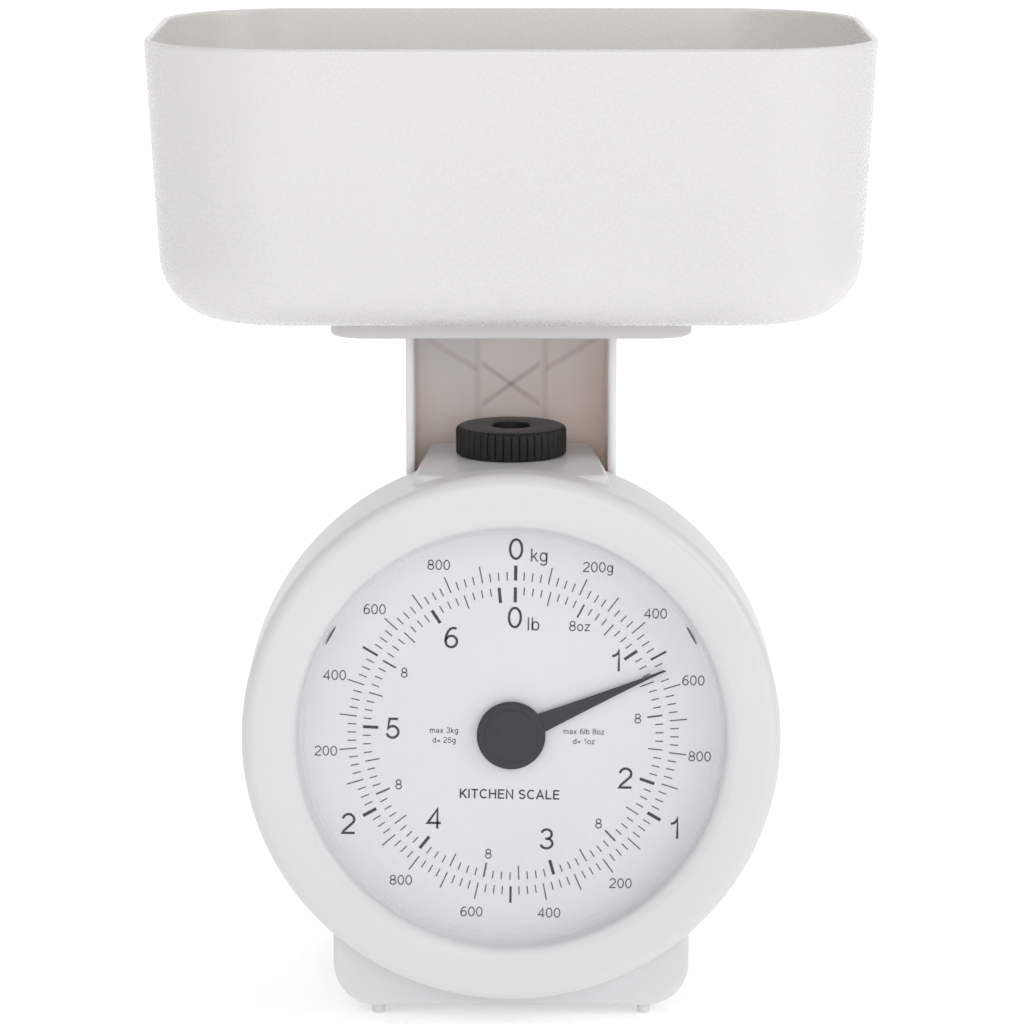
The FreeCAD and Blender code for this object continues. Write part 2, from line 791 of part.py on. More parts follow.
def build_rack():
    """Straight toothed rack on the right of the pinion; a tooth is level with its centre."""
    body = make_body("rack")
    pitch_line = "gear_module * gear_teeth / 2"
    root = f"{pitch_line} + {DEDENDUM} * gear_module"
    tip = f"{pitch_line} - {ADDENDUM} * gear_module"
    plane_shift = ("0", "0", "32.5")
    bar = draw(body, "XZ_Plane", rectangle(root, "9.5", "61.2", "85.8"), plane_shift)
    pad(body, bar, "3").Reversed = True
    slope = math.tan(math.radians(number("pressure_angle")))
    half = math.pi * number("gear_module") / 4 - BACKLASH
    wide = half + slope * DEDENDUM * number("gear_module")
    slim = half - slope * ADDENDUM * number("gear_module")
    below = 5
    count = 19
    start = f"dial_height - {below} * {math.pi:.6f} * gear_module"
    tooth = draw(
        body,
        "XZ_Plane",
        [
            (f"{root} + 0.2", f"{start} - {wide:.5f}"),
            (f"{root} + 0.2", f"{start} + {wide:.5f}"),
            (root, f"{start} + {wide:.5f}"),
            (tip, f"{start} + {slim:.5f}"),
            (tip, f"{start} - {slim:.5f}"),
            (root, f"{start} - {wide:.5f}"),
        ],
        plane_shift,
    )
    first = pad(body, tooth, "3")
    first.Reversed = True
    doc.recompute()
    row = body.newObject("PartDesign::LinearPattern", "teeth")
    row.Originals = [first]
    row.Direction = (tooth, ["V_Axis"])
    row.Occurrences = count
    bind(row, Length=f"{count - 1} * {math.pi:.6f} * gear_module")
    body.Tip = row
    doc.recompute()
    bar_body = NODES.pop("rack")
    bar_body.Label = "rack_bar"
    rivets = [(8.2, 66.0), (8.2, 80.0)]
    holes = [rod("Y", "0.8", "0 - 34", "0 - 28", x, z) for x, z in rivets]
    keep("rack", cut(bar_body, *holes))
    flange = box("5.6", "12.2", "0 - 29.5", "0 - 28.3", "63", "83")
    web = box("11", "12.2", "0 - 29.5", "8", "68", "80")
    foot = box("11", "18", "6.8", "8", "68", "80")
    foot_rivets = [(15.2, 71.0), (15.2, 77.0)]
    bracket_holes = [rod("Y", "0.8", "0 - 30", "0 - 27", x, z) for x, z in rivets]
    bracket_holes += [rod("Y", "0.8", "5", "12", x, z) for x, z in foot_rivets]
    keep("rack_bracket", cut(fuse(flange, web, foot), *bracket_holes))
    heads = [
        fuse(
            rod("Y", "0.78", "0 - 33.1", "0 - 27.6", x, z),
            rod("Y", "1.4", "0 - 28.3", "0 - 27.5", x, z),
        )
        for x, z in rivets
    ] + [
        fuse(rod("Y", "0.78", "6", "10.9", x, z), rod("Y", "1.4", "6", "6.8", x, z))
        for x, z in foot_rivets
    ]
    group("rack_rivets", *heads)
    return foot_rivets


# ---------------------------------------------------------------- frame, carriage, links
def build_chassis():
    """Steel plate behind the dial, its ears for the link pins, and the bridge over the pinion."""
    plate = box(
        "0 - 41.2",
        "41.2",
        "ring_back",
        "plate_back",
        "dial_height - 41.2",
        "dial_height + 41.2",
    )
    ears = [
        box(x_low, x_high, "plate_back - 0.5", "link_pivot_y + 3", f"{z} - 4", f"{z} + 4")
        for z in ("upper_pivot", "lower_pivot")
        for x_low, x_high in (("0 - 19.2", "0 - 18"), ("18", "19.2"))
    ]
    windows = [
        box(x_low, x_high, "0 - 42", "0 - 40", "dial_height - 26", "dial_height + 26")
        for x_low, x_high in (("0 - 36", "0 - 22"), ("22", "36"))
    ]
    pin_bores = [
        rod("X", "pin_radius + 0.02", "0 - 22", "22", "link_pivot_y", z)
        for z in ("upper_pivot", "lower_pivot")
    ]
    screw_holes = [
        rod("Y", "1.2", "0 - 42", "0 - 40", x, f"dial_height + {z}")
        for x in (-CHASSIS_SCREW, CHASSIS_SCREW)
        for z in (-CHASSIS_SCREW, CHASSIS_SCREW)
    ]
    bridge_places = (40.0, 95.8)
    bridge_holes = [rod("Y", "1.02", "0 - 42", "0 - 40", "0", z) for z in bridge_places]
    centre_hole = rod("Y", "3.02", "0 - 42", "0 - 40", "0", "dial_height")
    keep(
        "chassis_plate",
        cut(fuse(plate, *ears), *windows, *pin_bores, *screw_holes, *bridge_holes, centre_hole),
    )
    screws = [
        fuse(
            rod("Y", "2.2", "plate_back", "plate_back + 1.4", x, f"dial_height + {z}"),
            rod("Y", "1", "ring_back - 4", "plate_back", x, f"dial_height + {z}"),
        )
        for x in (-CHASSIS_SCREW, CHASSIS_SCREW)
        for z in (-CHASSIS_SCREW, CHASSIS_SCREW)
    ]
    group("chassis_screws", *screws)
    legs = [box("0 - 4", "4", "plate_back", "0 - 23", z, f"{z} + 1.2") for z in (91.6, 43.0)]
    flanges = [
        box("0 - 4", "4", "plate_back", "plate_back + 1.2", z, f"{z} + 7") for z in (91.6, 37.2)
    ]
    bar = box("0 - 4", "4", "0 - 24.2", "0 - 23", "43", "92.8")
    bush_hole = rod("Y", "2.52", "0 - 26", "0 - 21", "0", "dial_height")
    flange_holes = [rod("Y", "1.1", "0 - 41", "0 - 38", "0", z) for z in bridge_places]
    keep("bearing_bridge", cut(fuse(*legs, *flanges, bar), bush_hole, *flange_holes))
    bridge_screws = [
        fuse(
            rod("Y", "1.9", "plate_back + 1.2", "plate_back + 2.4", "0", z),
            rod("Y", "1", "ring_back + 0.2", "plate_back + 1.2", "0", z),
        )
        for z in bridge_places
    ]
    group("bridge_screws", *bridge_screws)
    pins = [
        rod("X", "pin_radius", "0 - 20", "20", "link_pivot_y", z)
        for z in ("upper_pivot", "lower_pivot")
    ]
    group("link_pivot_pins", *pins)


LINK_RISE = "link_length * sin( link_tilt * 1deg )"


def build_carriage(foot_rivets):
    """Sheet-metal carriage behind the movement, its pins, screws and spring plug."""
    back_low = "pillar_back - pillar_wall - sheet_thick"
    back_high = "pillar_back - pillar_wall"
    tall = ("carriage_foot", "carriage_top")
    back = box("0 - carriage_half", "carriage_half", back_low, back_high, *tall)
    flanges = [
        box(x_low, x_high, "0 - 2.5", back_high, *tall)
        for x_low, x_high in (
            ("0 - carriage_half", "sheet_thick - carriage_half"),
            ("carriage_half - sheet_thick", "carriage_half"),
        )
    ]
    shelf = box("0 - 7", "7", "knob_y - 7", back_high, "49", "51")
    pin_y = number("link_pivot_y") + number("link_length") * math.cos(
        math.radians(number("link_tilt"))
    )
    rise = number("link_length") * math.sin(math.radians(number("link_tilt")))
    pin_places = [
        (f"{pin_y:.4f}", f"{number(pivot) + rise:.4f}") for pivot in ("upper_pivot", "lower_pivot")
    ]
    pin_holes = [rod("X", "pin_radius + 0.02", "0 - 22", "22", y, z) for y, z in pin_places]
    plug_hole = rod("Z", "spigot_radius + 0.05", "47", "53", "0", "knob_y")
    fixings = [(x, z) for x in (-12, 12) for z in (70, 96)]
    screw_holes = [rod("Y", "1.3", "5", "12", x, z) for x, z in fixings]
    rivet_holes = [rod("Y", "0.8", "5", "12", x, z) for x, z in foot_rivets]
    keep(
        "carriage",
        cut(
            fuse(back, *flanges, shelf),
            *pin_holes,
            plug_hole,
            *screw_holes,
            *rivet_holes,
        ),
    )
    pins = [rod("X", "pin_radius", "0 - 20.6", "20.6", y, z) for y, z in pin_places]
    group("carriage_pins", *pins)
    screws = [
        fuse(
            rod("Y", "2.3", "pillar_back", "pillar_back + 1.3", x, z),
            rod("Y", "1.25", "pillar_back - 4.2", "pillar_back", x, z),
        )
        for x, z in fixings
    ]
    group("carriage_screws", *screws)
    plug = fuse(
        rod("Z", "spigot_radius", "47", "60", "0", "knob_y"),
        rod("Z", "6", "46.6", "49", "0", "knob_y"),
    )
    keep("spring_plug", plug)


def build_link(node, pivot):
    """Link frame of two arms and a cross strip, tilted as it stands at the drawn reading."""
    arms = []
    for x_low, x_high in (("0 - 16.5", "0 - 14"), ("14", "16.5")):
        arms.append(box(x_low, x_high, "0", "link_length", "0 - 3", "3"))
        arms.append(rod("X", "3", x_low, x_high, "0", "0"))
        arms.append(rod("X", "3", x_low, x_high, "link_length", "0"))
    strip = box("0 - 16.5", "16.5", "7", "9.5", "0 - 1", "1")
    eye = rod("X", "pin_radius + pin_clearance", "0 - 20", "20", "0", "0")
    slot_half = "( pin_radius + 0.3 )"
    slot = [
        box("0 - 20", "20", "link_length - 1.2", "link_length + 1.2", f"0 - {slot_half}", slot_half),
        rod("X", slot_half, "0 - 20", "20", "link_length - 1.2", "0"),
        rod("X", slot_half, "0 - 20", "20", "link_length + 1.2", "0"),
    ]
    ends = [rod("X", "4.2", x, f"{x} + 2.5", "link_length", "0") for x in (-16.5, 14)]
    link = cut(fuse(*arms, *ends, strip), eye, *slot)
    link.Placement = Placement(Vector(), Rotation(Vector(1, 0, 0), number("link_tilt")))
    bind(
        link,
        Placement__Base__y="link_pivot_y",
        Placement__Base__z=pivot,
        Placement__Rotation__Angle="link_tilt",
    )
    keep(node, link)


# ---------------------------------------------------------------- spring and zero knob
def build_spring():
    """Weighing spring: a coil gripped by the anchor above and the plug below."""
    helix = doc.addObject("Part::Helix", "coil_line")
    bind(
        helix,
        Pitch="spring_pitch",
        Height="spring_high - spring_low",
        Radius="spring_radius",
        Placement__Base__y="knob_y",
        Placement__Base__z="spring_low",
    )
    wire = doc.addObject("Part::Circle", "wire")
    wire.Placement = Placement(Vector(), Rotation(Vector(1, 0, 0), 90))
    bind(
        wire,
        Radius="wire_radius",
        Placement__Base__x="spring_radius",
        Placement__Base__y="knob_y",
        Placement__Base__z="spring_low",
    )
    coil = doc.addObject("Part::Sweep", "coil")
    coil.Sections = [wire]
    coil.Spine = (helix, [])
    coil.Solid = True
    coil.Frenet = True
    keep("main_spring", coil)


KNURL_COUNT = 40
KNURL_OFFSET = 0.2


def build_zero_knob():
    """Knurled knob, its screw, the clip under the boss and the nut that holds the spring."""
    knob = make_body("zero_knob")
    profile = [
        ("0", "knob_under"),
        ("knob_radius - 0.6", "knob_under"),
        ("knob_radius", "knob_under + 0.6"),
        ("knob_radius", "knob_top - 1"),
        ("knob_radius - 1", "knob_top"),
        ("knob_hole", "knob_top"),
        ("knob_hole", "knob_top - 3.2"),
        ("0", "knob_top - 3.2"),
    ]
    turn(
        knob,
        draw(knob, "XZ_Plane", profile, ("0", "0", "0 - knob_y")),
        "V_Axis",
    )
    blank = NODES.pop("zero_knob")
    blank.Label = "knob_blank"
    across = number("knob_radius") + KNURL_OFFSET
    grooves = []
    for index in range(KNURL_COUNT):
        angle = math.radians(360 * index / KNURL_COUNT)
        x = f"{across * math.cos(angle):.4f}"
        y = f"knob_y + ( {across * math.sin(angle):.4f} )"
        grooves.append(rod("Z", "knurl_radius", "knob_under - 1", "knob_top + 1", x, y))
    screw_bore = rod("Z", "zero_thread + 0.01", "knob_under - 1", "knob_top - 3", "0", "knob_y")
    keep("zero_knob", cut(blank, *grooves, screw_bore))
    screw = fuse(
        rod("Z", "zero_thread", "104", "knob_top - 3.2", "0", "knob_y"),
        rod("Z", "3.4", "knob_top - 3.2", "knob_top - 1.6", "0", "knob_y"),
    )
    neck = cut(
        rod("Z", "zero_thread + 1", "boss_top - 3.3", "boss_top - 2.5", "0", "knob_y"),
        rod("Z", "1.6", "boss_top - 4", "boss_top - 2", "0", "knob_y"),
    )
    keep("zero_screw", cut(screw, neck))
    clip = cut(
        rod("Z", "4.2", "boss_top - 3.3", "boss_top - 2.5", "0", "knob_y"),
        rod("Z", "1.65", "boss_top - 4", "boss_top - 2", "0", "knob_y"),
        box("0 - 1.4", "1.4", "knob_y", "knob_y + 6", "boss_top - 4", "boss_top - 2"),
    )
    keep("retaining_clip", clip)
    anchor = cut(
        fuse(
            box("0 - 7", "7", "knob_y - 4.6", "knob_y + 4.6", "112", "118"),
            rod("Z", "spigot_radius", "105", "113", "0", "knob_y"),
        ),
        rod("Z", "zero_thread + 0.06", "100", "120", "0", "knob_y"),
    )
    keep("spring_anchor", anchor)


def check_and_write():
    """Stop on any failed feature or bad shape, then write one STEP file for each node."""
    doc.recompute()
    for item in doc.Objects:
        if "Invalid" in item.State or "Error" in item.State:
            raise RuntimeError(f"{item.Label} failed: {item.State}")
    for node, item in NODES.items():
        shape = item.Shape
        if shape.isNull() or not shape.isValid() or not shape.Solids:
            raise RuntimeError(f"{node} has no valid solid")
    os.makedirs("parts", exist_ok=True)
    for node, item in NODES.items():
        item.Shape.exportStep(f"parts/{node}.step")
        print(f"{node}: {len(item.Shape.Solids)} solid, {item.Shape.Volume:.1f} mm3")


build_bowl()
build_platform()
build_pillar()
build_front_housing()
build_rear_housing()
build_base()
build_dial()
build_pointer()
build_movement()
rack_foot_rivets = build_rack()
build_chassis()
build_carriage(rack_foot_rivets)
build_link("upper_link", "upper_pivot")
build_link("lower_link", "lower_pivot")
build_spring()
build_zero_knob()
check_and_write()
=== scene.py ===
"""Looks of a mechanical kitchen scale: white bowl, pillar and housing, printed dial, black zero knob.

Sizes are millimetres in the classes and metres in the meshes. X is to the right, Y to the back and
Z up, as in the frame. Every shell is a surface worked out from a few sizes read from the frame.
"""

import json
import logging
import math
from dataclasses import dataclass, field
from enum import Enum
from typing import Sequence, Union

import bpy
import numpy as np
from mathutils import Matrix, Vector


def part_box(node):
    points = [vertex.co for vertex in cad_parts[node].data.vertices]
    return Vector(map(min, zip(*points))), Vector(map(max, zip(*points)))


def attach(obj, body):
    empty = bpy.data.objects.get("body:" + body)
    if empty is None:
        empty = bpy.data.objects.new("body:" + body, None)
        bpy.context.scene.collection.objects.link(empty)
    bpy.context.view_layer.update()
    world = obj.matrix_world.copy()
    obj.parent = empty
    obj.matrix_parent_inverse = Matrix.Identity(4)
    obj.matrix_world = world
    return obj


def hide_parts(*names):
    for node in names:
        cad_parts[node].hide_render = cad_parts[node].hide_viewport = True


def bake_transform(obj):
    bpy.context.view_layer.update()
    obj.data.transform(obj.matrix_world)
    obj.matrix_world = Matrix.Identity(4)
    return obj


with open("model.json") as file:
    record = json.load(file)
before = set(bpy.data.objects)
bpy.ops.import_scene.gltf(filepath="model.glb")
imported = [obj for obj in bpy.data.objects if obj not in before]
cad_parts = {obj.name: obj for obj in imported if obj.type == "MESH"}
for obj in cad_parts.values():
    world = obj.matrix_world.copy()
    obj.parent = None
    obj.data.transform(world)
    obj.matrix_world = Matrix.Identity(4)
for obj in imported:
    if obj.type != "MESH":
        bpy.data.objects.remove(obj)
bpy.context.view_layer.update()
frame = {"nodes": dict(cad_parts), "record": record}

MM = 0.001
DIAL_HEIGHT = 68.0
PLATFORM_SCREW = (14.0, 17.0)
FULL_TURN_GRAMS = 3000
OUNCE_DEGREES = 28.3495 / FULL_TURN_GRAMS * 360
log = logging.getLogger("kitchen_scale")

Colour = tuple[float, float, float]
Number = Union[int, float]


class Body(str, Enum):
    """Bodies of the frame that pieces ride on."""

    HOUSING = "housing"
    PLATFORM = "platform"
    BOWL = "bowl"
    POINTER = "pointer"
    KNOB = "zero_knob"


class Cap(Enum):
    """How an open end of a surface is closed."""

    NONE = "none"
    POLE = "pole"
    FLAT = "flat"


# ------------------------------------------------------------------ shader tools
class Value:
    """A number socket that adds Math nodes when it is used in an expression."""

    def __init__(self, wiring: "Wiring", socket: bpy.types.NodeSocket) -> None:
        """Wrap a socket.

        Args:
            wiring: the node tree that the socket belongs to.
            socket: the output socket that carries the number.
        """
        self.wiring = wiring
        self.socket = socket

    def _math(self, operation: str, first: "Term", second: "Term") -> "Value":
        """Add one Math node and return its result."""
        node = self.wiring.node(
            "ShaderNodeMath", {"operation": operation}, {0: first, 1: second}
        )
        return Value(self.wiring, node.outputs[0])

    def __add__(self, other: "Term") -> "Value":
        """Sum."""
        return self._math("ADD", self, other)

    __radd__ = __add__

    def __sub__(self, other: "Term") -> "Value":
        """Difference."""
        return self._math("SUBTRACT", self, other)

    def __rsub__(self, other: "Term") -> "Value":
        """Difference with this value taken away."""
        return self._math("SUBTRACT", other, self)

    def __mul__(self, other: "Term") -> "Value":
        """Product."""
        return self._math("MULTIPLY", self, other)

    __rmul__ = __mul__

    def __truediv__(self, other: "Term") -> "Value":
        """Quotient."""
        return self._math("DIVIDE", self, other)

    def absolute(self) -> "Value":
        """Size of the value without its sign."""
        return self._math("ABSOLUTE", self, 0.0)

    def ramp(self, low: float, high: float) -> "Value":
        """Smooth step: 0 below low and 1 above high."""
        node = self.wiring.node(
            "ShaderNodeMapRange",
            {"interpolation_type": "SMOOTHSTEP"},
            {"Value": self, "From Min": low, "From Max": high},
        )
        return Value(self.wiring, node.outputs[0])


Term = Union[Number, Value]


class Wiring:
    """Node tree of one material around a single Principled shader."""

    def __init__(self, name: str) -> None:
        """Start a material.

        Args:
            name: name of the material.
        """
        self.material = bpy.data.materials.new(name)
        self.material.use_nodes = True
        self.tree = self.material.node_tree
        self.tree.nodes.clear()
        self.shader = self.tree.nodes.new("ShaderNodeBsdfPrincipled")
        output = self.tree.nodes.new("ShaderNodeOutputMaterial")
        self.tree.links.new(self.shader.outputs[0], output.inputs["Surface"])

    def node(self, kind: str, settings: dict, inputs: dict) -> bpy.types.Node:
        """Add a node, set it up and feed its sockets.

        Args:
            kind: the node's type.
            settings: properties of the node, which are set first.
            inputs: a value, a Value or an output socket for each input.

        Returns:
            The new node.
        """
        node = self.tree.nodes.new(kind)
        for name, value in settings.items():
            setattr(node, name, value)
        for key, value in inputs.items():
            self.feed(node.inputs[key], value)
        return node

    def feed(self, socket: bpy.types.NodeSocket, value: object) -> None:
        """Link a Value or a socket to an input, or set the input to a constant."""
        if isinstance(value, Value):
            value = value.socket
        if isinstance(value, bpy.types.NodeSocket):
            self.tree.links.new(value, socket)
        else:
            socket.default_value = value

    def place(self, scale: Sequence[float] = (1, 1, 1)) -> bpy.types.NodeSocket:
        """Object coordinates stretched by a scale along each axis."""
        coordinates = self.node("ShaderNodeTexCoord", {}, {}).outputs["Object"]
        mapping = self.node(
            "ShaderNodeMapping", {}, {"Vector": coordinates, "Scale": tuple(scale)}
        )
        return mapping.outputs["Vector"]

    def noise(
        self, size: float, detail: float = 3.0, stretch: Sequence[float] = (1, 1, 1)
    ) -> Value:
        """Cloudy noise from 0 to 1 with features about size metres across."""
        node = self.node(
            "ShaderNodeTexNoise",
            {},
            {"Vector": self.place(stretch), "Scale": 1.0 / size, "Detail": detail},
        )
        return Value(self, node.outputs["Fac"])

    def axis(self, letter: str) -> Value:
        """One Object coordinate, in metres."""
        node = self.node("ShaderNodeSeparateXYZ", {}, {"Vector": self.place()})
        return Value(self, node.outputs[letter])

    def blend(self, share: Term, first: object, second: object) -> bpy.types.NodeSocket:
        """Colour between first and second by a share from 0 to 1."""
        node = self.node(
            "ShaderNodeMix", {"data_type": "RGBA"}, {"Factor": share, 6: first, 7: second}
        )
        return node.outputs[2]

    def bump(self, height: Term, strength: float, distance: float) -> bpy.types.NodeSocket:
        """Normal that follows a height, with the height's full range worth distance metres."""
        node = self.node(
            "ShaderNodeBump",
            {},
            {"Height": height, "Strength": strength, "Distance": distance},
        )
        return node.outputs["Normal"]

    def set(self, **sockets: object) -> None:
        """Feed the shader's sockets; underscores in the names stand for spaces."""
        for name, value in sockets.items():
            self.feed(self.shader.inputs[name.replace("_", " ")], value)


def rgba(colour: Colour) -> tuple[float, float, float, float]:
    """Colour with full alpha."""
    return (*colour, 1.0)


@dataclass(frozen=True)
class MouldedPlastic:
    """Injection-moulded plastic: slight clouding, flow waviness and fine surface grain."""

    name: str
    colour: Colour
    shade: Colour
    roughness: float = 0.3
    grain: float = 0.12
    waviness: float = 0.06
    scatter: float = 0.0
    gloss: float = 0.5

    def make(self) -> bpy.types.Material:
        """Build the material."""
        wiring = Wiring(self.name)
        cloud = wiring.noise(0.045, 2.0)
        fine = wiring.noise(0.0006, 2.0)
        flow = wiring.noise(0.02, 1.0)
        height = fine * self.grain + flow * self.waviness
        wiring.set(
            Base_Color=wiring.blend(cloud.ramp(0.3, 0.7), rgba(self.colour), rgba(self.shade)),
            Roughness=self.roughness + (fine - 0.5) * 0.08 + (cloud - 0.5) * 0.06,
            Normal=wiring.bump(height, 0.35, 0.0002),
            IOR=1.49,
            Specular_IOR_Level=self.gloss,
        )
        if self.scatter:
            wiring.set(
                Subsurface_Weight=self.scatter,
                Subsurface_Radius=(1.0, 0.8, 0.7),
                Subsurface_Scale=0.004,
            )
        return wiring.material


@dataclass(frozen=True)
class PillarPlastic:
    """Thin white plastic with painted light and shade on its inside face: it is painted brighter and
    warmer than the edges for light that shines through the thin wall, painted shade deepens toward the
    bottom and the right, and faint stripes paint the shadow of the hidden ribs.
    """

    name: str = "pillar_plastic"
    # colour: the inside face, painted brighter and warmer than the edges for light that shines through
    # the thin wall, partly the plastic's own warm tint
    colour: Colour = (0.98, 0.93, 0.91)
    # deep: painted shade colour, blended in toward the bottom by the boss and toward the right side
    deep: Colour = (0.95, 0.83, 0.78)
    # line: colour of the painted shadow of the hidden ribs behind the wall
    line: Colour = (0.5, 0.42, 0.41)
    edge: Colour = (0.82, 0.81, 0.81)
    top: float = 0.1578
    cross_height: float = 0.1400
    cross_slope: float = 0.72
    boss_top: float = 0.122
    half_width: float = 0.022
    rib_x: float = 0.008
    brace_height: float = 0.1385
    brace_slope: float = 0.62

    def make(self) -> bpy.types.Material:
        """Build the material."""
        wiring = Wiring(self.name)
        across = wiring.axis("X")
        depth = wiring.axis("Y")
        rise = wiring.axis("Z")
        cloud = wiring.noise(0.018, 3.0)
        # Painted shade: darker and warmer toward the bottom by the boss and toward the right side, with
        # a little random clouding.
        lower = 1.0 - ((rise - self.boss_top) / (self.top - self.boss_top)).ramp(0.0, 1.0)
        side = (across / self.half_width).ramp(-0.6, 1.0)
        painted_shade_mix = lower * 0.55 + side * 0.5 + (cloud - 0.5) * 0.25
        base = wiring.blend(painted_shade_mix, rgba(self.colour), rgba(self.deep))
        # Painted shade: thin stripes where the ribs behind the wall block the light that shines through
        # it, in an X, two uprights and two braces.
        rising = (rise - self.cross_height - across * self.cross_slope).absolute()
        falling = (rise - self.cross_height + across * self.cross_slope).absolute()
        off = across.absolute()
        near = 1.0 - off.ramp(0.0062, 0.0074)
        cross = ((1.0 - rising.ramp(0.0002, 0.0011)) + (1.0 - falling.ramp(0.0002, 0.0011))) * near
        upright = 1.0 - (off - self.rib_x).absolute().ramp(0.0003, 0.0011)
        braced = (rise - self.brace_height - off * self.brace_slope).absolute()
        outer = off.ramp(0.0078, 0.0086) * (1.0 - braced.ramp(0.0003, 0.0012))
        rib_shadow_lines = (cross * 0.55 + upright * 0.3 + outer * 0.4) * (0.55 + (cloud - 0.3) * 0.9)
        # The front edges keep the plain edge colour; only the inside face gets the painted light and
        # shade.
        inside = depth.ramp(-0.0186, -0.0176)
        rib_shadowed = wiring.blend(rib_shadow_lines, base, rgba(self.line))
        fine = wiring.noise(0.0007, 2.0)
        wiring.set(
            Base_Color=wiring.blend(inside, rgba(self.edge), rib_shadowed),
            Roughness=0.34 + (fine - 0.5) * 0.08,
            Normal=wiring.bump(fine * 0.1 + rib_shadow_lines * 0.3, 0.3, 0.0002),
            Subsurface_Weight=0.25,
            Subsurface_Radius=(1.0, 0.7, 0.6),
            Subsurface_Scale=0.003,
            IOR=1.49,
        )
        return wiring.material


@dataclass(frozen=True)
class PrintedInk:
    """Screen-printed ink with slightly uneven cover."""

    name: str
    colour: Colour

    def make(self) -> bpy.types.Material:
        """Build the material."""
        wiring = Wiring(self.name)
        cover = wiring.noise(0.0007, 3.0)
        lighter = tuple(min(1.0, part * 1.5 + 0.03) for part in self.colour)
        wiring.set(
            Base_Color=wiring.blend(cover.ramp(0.35, 0.8) * 0.5, rgba(self.colour), rgba(lighter)),
            Roughness=0.55 + (cover - 0.5) * 0.1,
            Normal=wiring.bump(cover, 0.1, 0.00002),
        )
        return wiring.material


@dataclass(frozen=True)
class ClearCover:
    """Clear moulded cover: see-through face on, glossy at a glancing angle."""

    name: str = "clear_cover"

    def make(self) -> bpy.types.Material:
        """Build the material."""
        wiring = Wiring(self.name)
        glance = Value(
            wiring, wiring.node("ShaderNodeLayerWeight", {}, {"Blend": 0.25}).outputs["Facing"]
        )
        haze = wiring.noise(0.03, 2.0)
        wiring.set(
            Base_Color=(0.25, 0.25, 0.28, 1.0),
            Roughness=0.05 + haze * 0.03,
            Alpha=0.012 + haze * 0.012 + glance * glance * 0.3,
            IOR=1.49,
        )
        return wiring.material


@dataclass(frozen=True)
class RolledMetal:
    """Metal with directional rolling or turning marks."""

    name: str
    colour: Colour
    dull: Colour
    roughness: float = 0.32
    stretch: tuple[float, float, float] = (1.0, 1.0, 12.0)

    def make(self) -> bpy.types.Material:
        """Build the material."""
        wiring = Wiring(self.name)
        marks = wiring.noise(0.004, 4.0, self.stretch)
        stain = wiring.noise(0.012, 3.0)
        wiring.set(
            Base_Color=wiring.blend(stain.ramp(0.35, 0.75), rgba(self.colour), rgba(self.dull)),
            Metallic=1.0,
            Roughness=self.roughness + (marks - 0.5) * 0.2 + (stain - 0.5) * 0.12,
            Normal=wiring.bump(marks, 0.2, 0.00005),
        )
        return wiring.material


@dataclass(frozen=True)
class StudioPaper:
    """Pale paper of the studio floor."""

    name: str = "studio_paper"
    colour: Colour = (0.97, 0.97, 0.97)
    glow: float = 0.28

    def make(self) -> bpy.types.Material:
        """Build the material."""
        wiring = Wiring(self.name)
        pulp = wiring.noise(0.01, 3.0)
        softer = tuple(part * 0.985 for part in self.colour)
        wiring.set(
            Base_Color=wiring.blend(pulp, rgba(self.colour), rgba(softer)),
            Roughness=0.9,
            Emission_Color=rgba(self.colour),
            Emission_Strength=self.glow,
        )
        return wiring.material


# ------------------------------------------------------------------ surfaces
def rounded_outline(
    half_x: np.ndarray,
    half_y: np.ndarray,
    radius: np.ndarray,
    corner_steps: int = 14,
    side_steps: int = 10,
) -> np.ndarray:
    """Closed outlines of rounded rectangles, one for each entry of the sizes.

    Each corner is centre + radius * (cos a, sin a) for a over a quarter turn, and each side is
    the straight blend (1 - t) * end + t * start between two corners.

    Args:
        half_x: half widths.
        half_y: half depths.
        radius: corner radii.
        corner_steps: spans in each corner.
        side_steps: points inside each side.

    Returns:
        Array of outlines, points and (x, y), counter-clockwise.
    """
    half_x, half_y, radius = np.broadcast_arrays(*map(np.atleast_1d, (half_x, half_y, radius)))
    quarter = np.linspace(0.0, math.pi / 2, corner_steps + 1)
    corners = []
    for turn, (sign_x, sign_y) in enumerate(((1, 1), (-1, 1), (-1, -1), (1, -1))):
        angle = quarter + turn * math.pi / 2
        x = sign_x * (half_x - radius)[:, None] + radius[:, None] * np.cos(angle)
        y = sign_y * (half_y - radius)[:, None] + radius[:, None] * np.sin(angle)
        corners.append(np.stack((x, y), axis=2))
    share = (np.arange(1, side_steps + 1) / (side_steps + 1))[None, :, None]
    blocks = []
    for turn in range(4):
        start = corners[turn][:, -1:, :]
        end = corners[(turn + 1) % 4][:, :1, :]
        blocks += [corners[turn], (1 - share) * start + share * end]
    return np.concatenate(blocks, axis=1)


def arc(
    centre: tuple[float, float], radius: tuple[float, float], start: float, end: float, steps: int
) -> np.ndarray:
    """Points centre + (rx cos a, ry sin a) for a from start to end, in degrees."""
    angle = np.radians(np.linspace(start, end, steps + 1))
    return np.stack(
        (centre[0] + radius[0] * np.cos(angle), centre[1] + radius[1] * np.sin(angle)), axis=1
    )


def revolved(profile: np.ndarray, centre: Vector, steps: int, axis: str = "Y") -> np.ndarray:
    """Rows of a surface of revolution.

    A profile point (along, r) goes to centre + r * (sin a, cos a) across the axis and along on it.

    Args:
        profile: points (distance along the axis, radius), in mm.
        centre: point on the axis, in mm, added to the result.
        steps: columns round the axis.
        axis: "Y" or "Z".

    Returns:
        Array of rows, columns and (x, y, z), in mm.
    """
    angle = np.linspace(0.0, 2 * math.pi, steps, endpoint=False)
    along = np.repeat(profile[:, :1], steps, axis=1)
    across = profile[:, 1:2] * np.sin(angle)
    other = profile[:, 1:2] * np.cos(angle)
    order = (across, along, other) if axis == "Y" else (across, other, along)
    return np.stack(order, axis=2) + np.array(centre)


